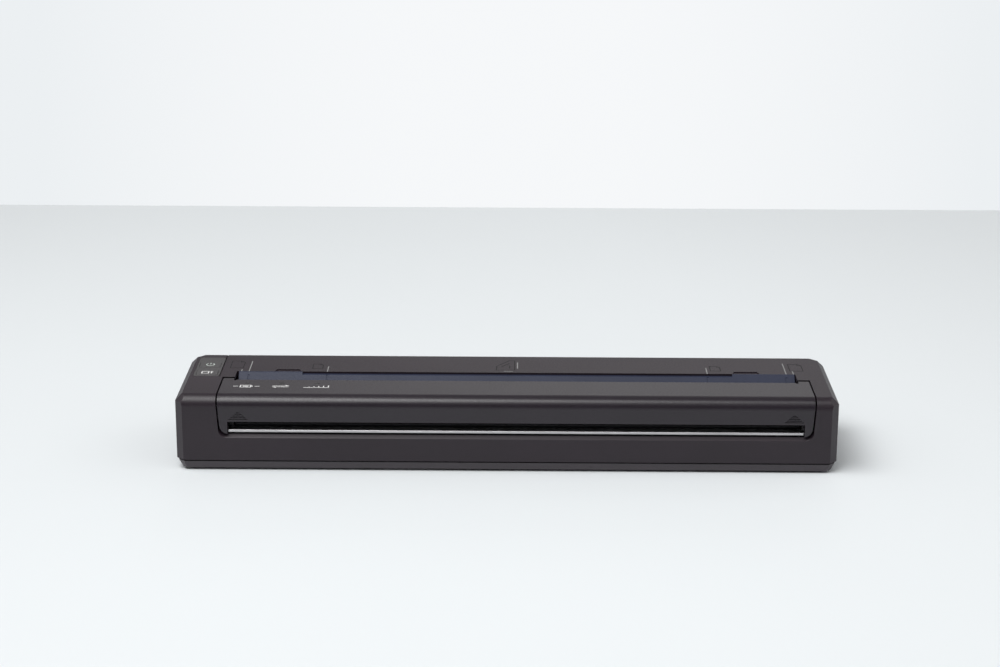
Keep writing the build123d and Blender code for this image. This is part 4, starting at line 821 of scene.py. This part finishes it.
# %% Table
TABLE_BACK = 406 * MM
TABLE_FRONT = -1500 * MM
TABLE_HALF = 1500 * MM
TABLE_WHITE = (0.792, 0.825, 0.841)
LEVEL_BY_DEPTH = (400 * MM, -350 * MM, 1.03, 0.94)     # from Y, to Y, level there and there
LEVEL_BY_WIDTH = (-450 * MM, 350 * MM, 0.82, 1.08)     # the same along X
LAMINATE_DRIFT = 300 * MM
TABLE_ROUGHNESS = 0.6


def across(tree, axis, start, stop, low, high):
    """A number that goes from low to high while one axis goes from start to stop."""
    split = tree.nodes.new("ShaderNodeSeparateXYZ")
    tree.links.new(place(tree), split.inputs["Vector"])
    return between(tree, split.outputs[axis], low, high, start, stop)


def product(tree, first, second):
    """Two numbers multiplied."""
    times = tree.nodes.new("ShaderNodeMath")
    times.operation = "MULTIPLY"
    tree.links.new(first, times.inputs[0])
    tree.links.new(second, times.inputs[1])
    return times.outputs["Value"]


def table_finish(name, colour):
    """Pale laminate: white by depth and width, a faint drift and a soft sheen."""
    material, tree, shader = new_material(name)
    drift = noise(tree, place(tree), LAMINATE_DRIFT, 2.0)
    level = product(tree, across(tree, "Y", *LEVEL_BY_DEPTH), across(tree, "X", *LEVEL_BY_WIDTH))
    level = product(tree, level, between(tree, drift, 0.985, 1.0))
    tree.links.new(two_tone(tree, level, (0, 0, 0), colour), shader.inputs["Base Color"])
    shader.inputs["Roughness"].default_value = TABLE_ROUGHNESS
    return material


table_mesh = bpy.data.meshes.new("table")
table_mesh.from_pydata([(-TABLE_HALF, TABLE_FRONT, 0), (TABLE_HALF, TABLE_FRONT, 0),
                        (TABLE_HALF, TABLE_BACK, 0), (-TABLE_HALF, TABLE_BACK, 0)], [], [(0, 1, 2, 3)])
table_mesh.materials.append(table_finish("table_white", TABLE_WHITE))
table = put("table", table_mesh)
print("table", round(2 * TABLE_HALF, 1), "m wide")

# %% [markdown]
# ## The room
# What black plastic looks like is what it mirrors, so the room matters more than the
# lamps. It is a cove that arches over the printer, so a direction's tone depends above
# all on one angle: up from the back of the table and over to the front. Panels built
# round the table could do the same, but a tone by angle is smooth and has no edges.

# %% Tones of a cove
COVE = (                              # degrees over the printer, and grey
    (0, 0.15), (9, 0.20),             # foot of the wall behind the table
    (13, 0.88), (24, 0.88),           # bright strip along that wall
    (30, 0.17),                       # dark above it
    (44, 0.30), (66, 0.30),           # dim upper wall
    (74, 0.06), (92, 0.06),           # dark ceiling
    (97, 1.2), (118, 1.2),            # lit panel over the front edge
    (124, 0.30), (146, 0.20),         # dim wall in front
    (156, 0.05), (180, 0.05))         # dark side, where the camera stands


def turn_over_printer(tree, back, up):
    """Angle of a direction, as a share of the half turn from the back over to the front."""
    angle = tree.nodes.new("ShaderNodeMath")
    angle.operation = "ARCTAN2"
    tree.links.new(up, angle.inputs[0])
    tree.links.new(back, angle.inputs[1])
    return between(tree, angle.outputs["Value"], 0, 1, 0, math.pi)


def tones(tree, share, stops):
    """Grey by share of the half turn, in straight steps between the stops."""
    ramp = tree.nodes.new("ShaderNodeValToRGB")
    elements = ramp.color_ramp.elements
    while len(elements) < len(stops):
        elements.new(1.0)
    for element, (degrees, grey) in zip(elements, stops):
        element.position = degrees / 180
        element.color = (grey, grey, grey, 1)
    tree.links.new(share, ramp.inputs["Fac"])
    return ramp.outputs["Color"]


def covered(tree, share, under, upper):
    """Colour under, covered by colour upper where share is 1."""
    mix = tree.nodes.new("ShaderNodeMix")
    mix.data_type = "RGBA"
    tree.links.new(share, mix.inputs["Factor"])
    tree.links.new(under, mix.inputs["A"])
    tree.links.new(upper, mix.inputs["B"])
    return mix.outputs["Result"]


print(len(COVE), "stops over the printer")

# %% [markdown]
# ## The room all round
# Some tone also changes sideways. Behind the table the cove is brighter to the right,
# on the front side to the left, and the wall behind fades towards both ends. Far out
# to the sides stand plain walls, the right one brighter. Below the horizon, where only
# the eye looks past the table, it is plain white paper, brightest in the middle. X, Y
# and Z here are the three parts of a direction's unit vector.

# %% World
PAPER_MIDDLE, PAPER_SIDE = (0.92, 0.935, 0.95), (0.84, 0.87, 0.89)
PAPER_REACH = (0.002, 0.040)          # X squared: the paper's middle ends, its side begins
LEFT_WALL, RIGHT_WALL = (0.6, 0.6, 0.6), (1.0, 1.0, 1.0)
WALL_REACH = (0.25, 0.55)             # X squared: the side walls begin, and are full
TURN_REACH = (-0.5, 0.5)              # X: from the left wall's tone to the right one's
LEAN, LEAN_REACH = (0.5, 1.5), (-0.25, 0.25)       # level, by X times Y
FADE, FADE_REACH = (1.07, 0.62), (0.0, 0.035)      # level, by X squared times Y
HORIZON = (-0.01, 0.0)                # Z: paper below, cove above

world = bpy.data.worlds.new("room")
bpy.context.scene.world = world
world.use_nodes = True
room = world.node_tree
background = room.nodes["Background"]
direction = room.nodes.new("ShaderNodeTexCoord")
split = room.nodes.new("ShaderNodeSeparateXYZ")
room.links.new(direction.outputs["Generated"], split.inputs["Vector"])
x, y, z = (split.outputs[axis] for axis in "XYZ")
sideways = product(room, x, x)

shaded = room.nodes.new("ShaderNodeVectorMath")
shaded.operation = "SCALE"
leaning = between(room, product(room, x, y), *LEAN, *LEAN_REACH)
fading = between(room, product(room, sideways, y), *FADE, *FADE_REACH)
room.links.new(tones(room, turn_over_printer(room, y, z), COVE), shaded.inputs["Vector"])
room.links.new(product(room, leaning, fading), shaded.inputs["Scale"])
walls = two_tone(room, between(room, x, 0, 1, *TURN_REACH), LEFT_WALL, RIGHT_WALL)
cove = covered(room, between(room, sideways, 0, 1, *WALL_REACH), shaded.outputs["Vector"], walls)
paper = two_tone(room, between(room, sideways, 0, 1, *PAPER_REACH), PAPER_MIDDLE, PAPER_SIDE)
below = between(room, z, 1, 0, *HORIZON)
room.links.new(covered(room, below, cove, paper), background.inputs["Color"])
background.inputs["Strength"].default_value = 1.0
print("side walls", LEFT_WALL[0], "and", RIGHT_WALL[0])

# %% [markdown]
# ## The lamp
# One large softbox hangs above the front edge, mostly to the left of the printer. Its
# reflection helps to draw the band of light along the rounded edge, strong at the left
# and fading to the right, and the shadow falls softly to the right. A smaller lamp would
# give a harder shadow than a studio has.

# %% Softbox
SOFTBOX_PLACE = (-375, -300, 1000)    # mm
SOFTBOX_AIM = (-40, -60, 0)
SOFTBOX_SIZE = (1050, 620)
SOFTBOX_RADIANCE = 5.4


def softbox(name, place_mm, aim_mm, size_mm, radiance):
    """Rectangular lamp at a place, facing a point; power is pi times area times radiance."""
    data = bpy.data.lights.new(name, "AREA")
    data.shape = "RECTANGLE"
    data.size, data.size_y = (side * MM for side in size_mm)
    data.energy = math.pi * data.size * data.size_y * radiance
    lamp = put(name, data)
    lamp.location = Vector(place_mm) * MM
    lamp.rotation_euler = (Vector(aim_mm) - Vector(place_mm)).to_track_quat("-Z", "Y").to_euler()
    return lamp


lamp = softbox("softbox", SOFTBOX_PLACE, SOFTBOX_AIM, SOFTBOX_SIZE, SOFTBOX_RADIANCE)
print("softbox of", round(lamp.data.energy, 1), "W")
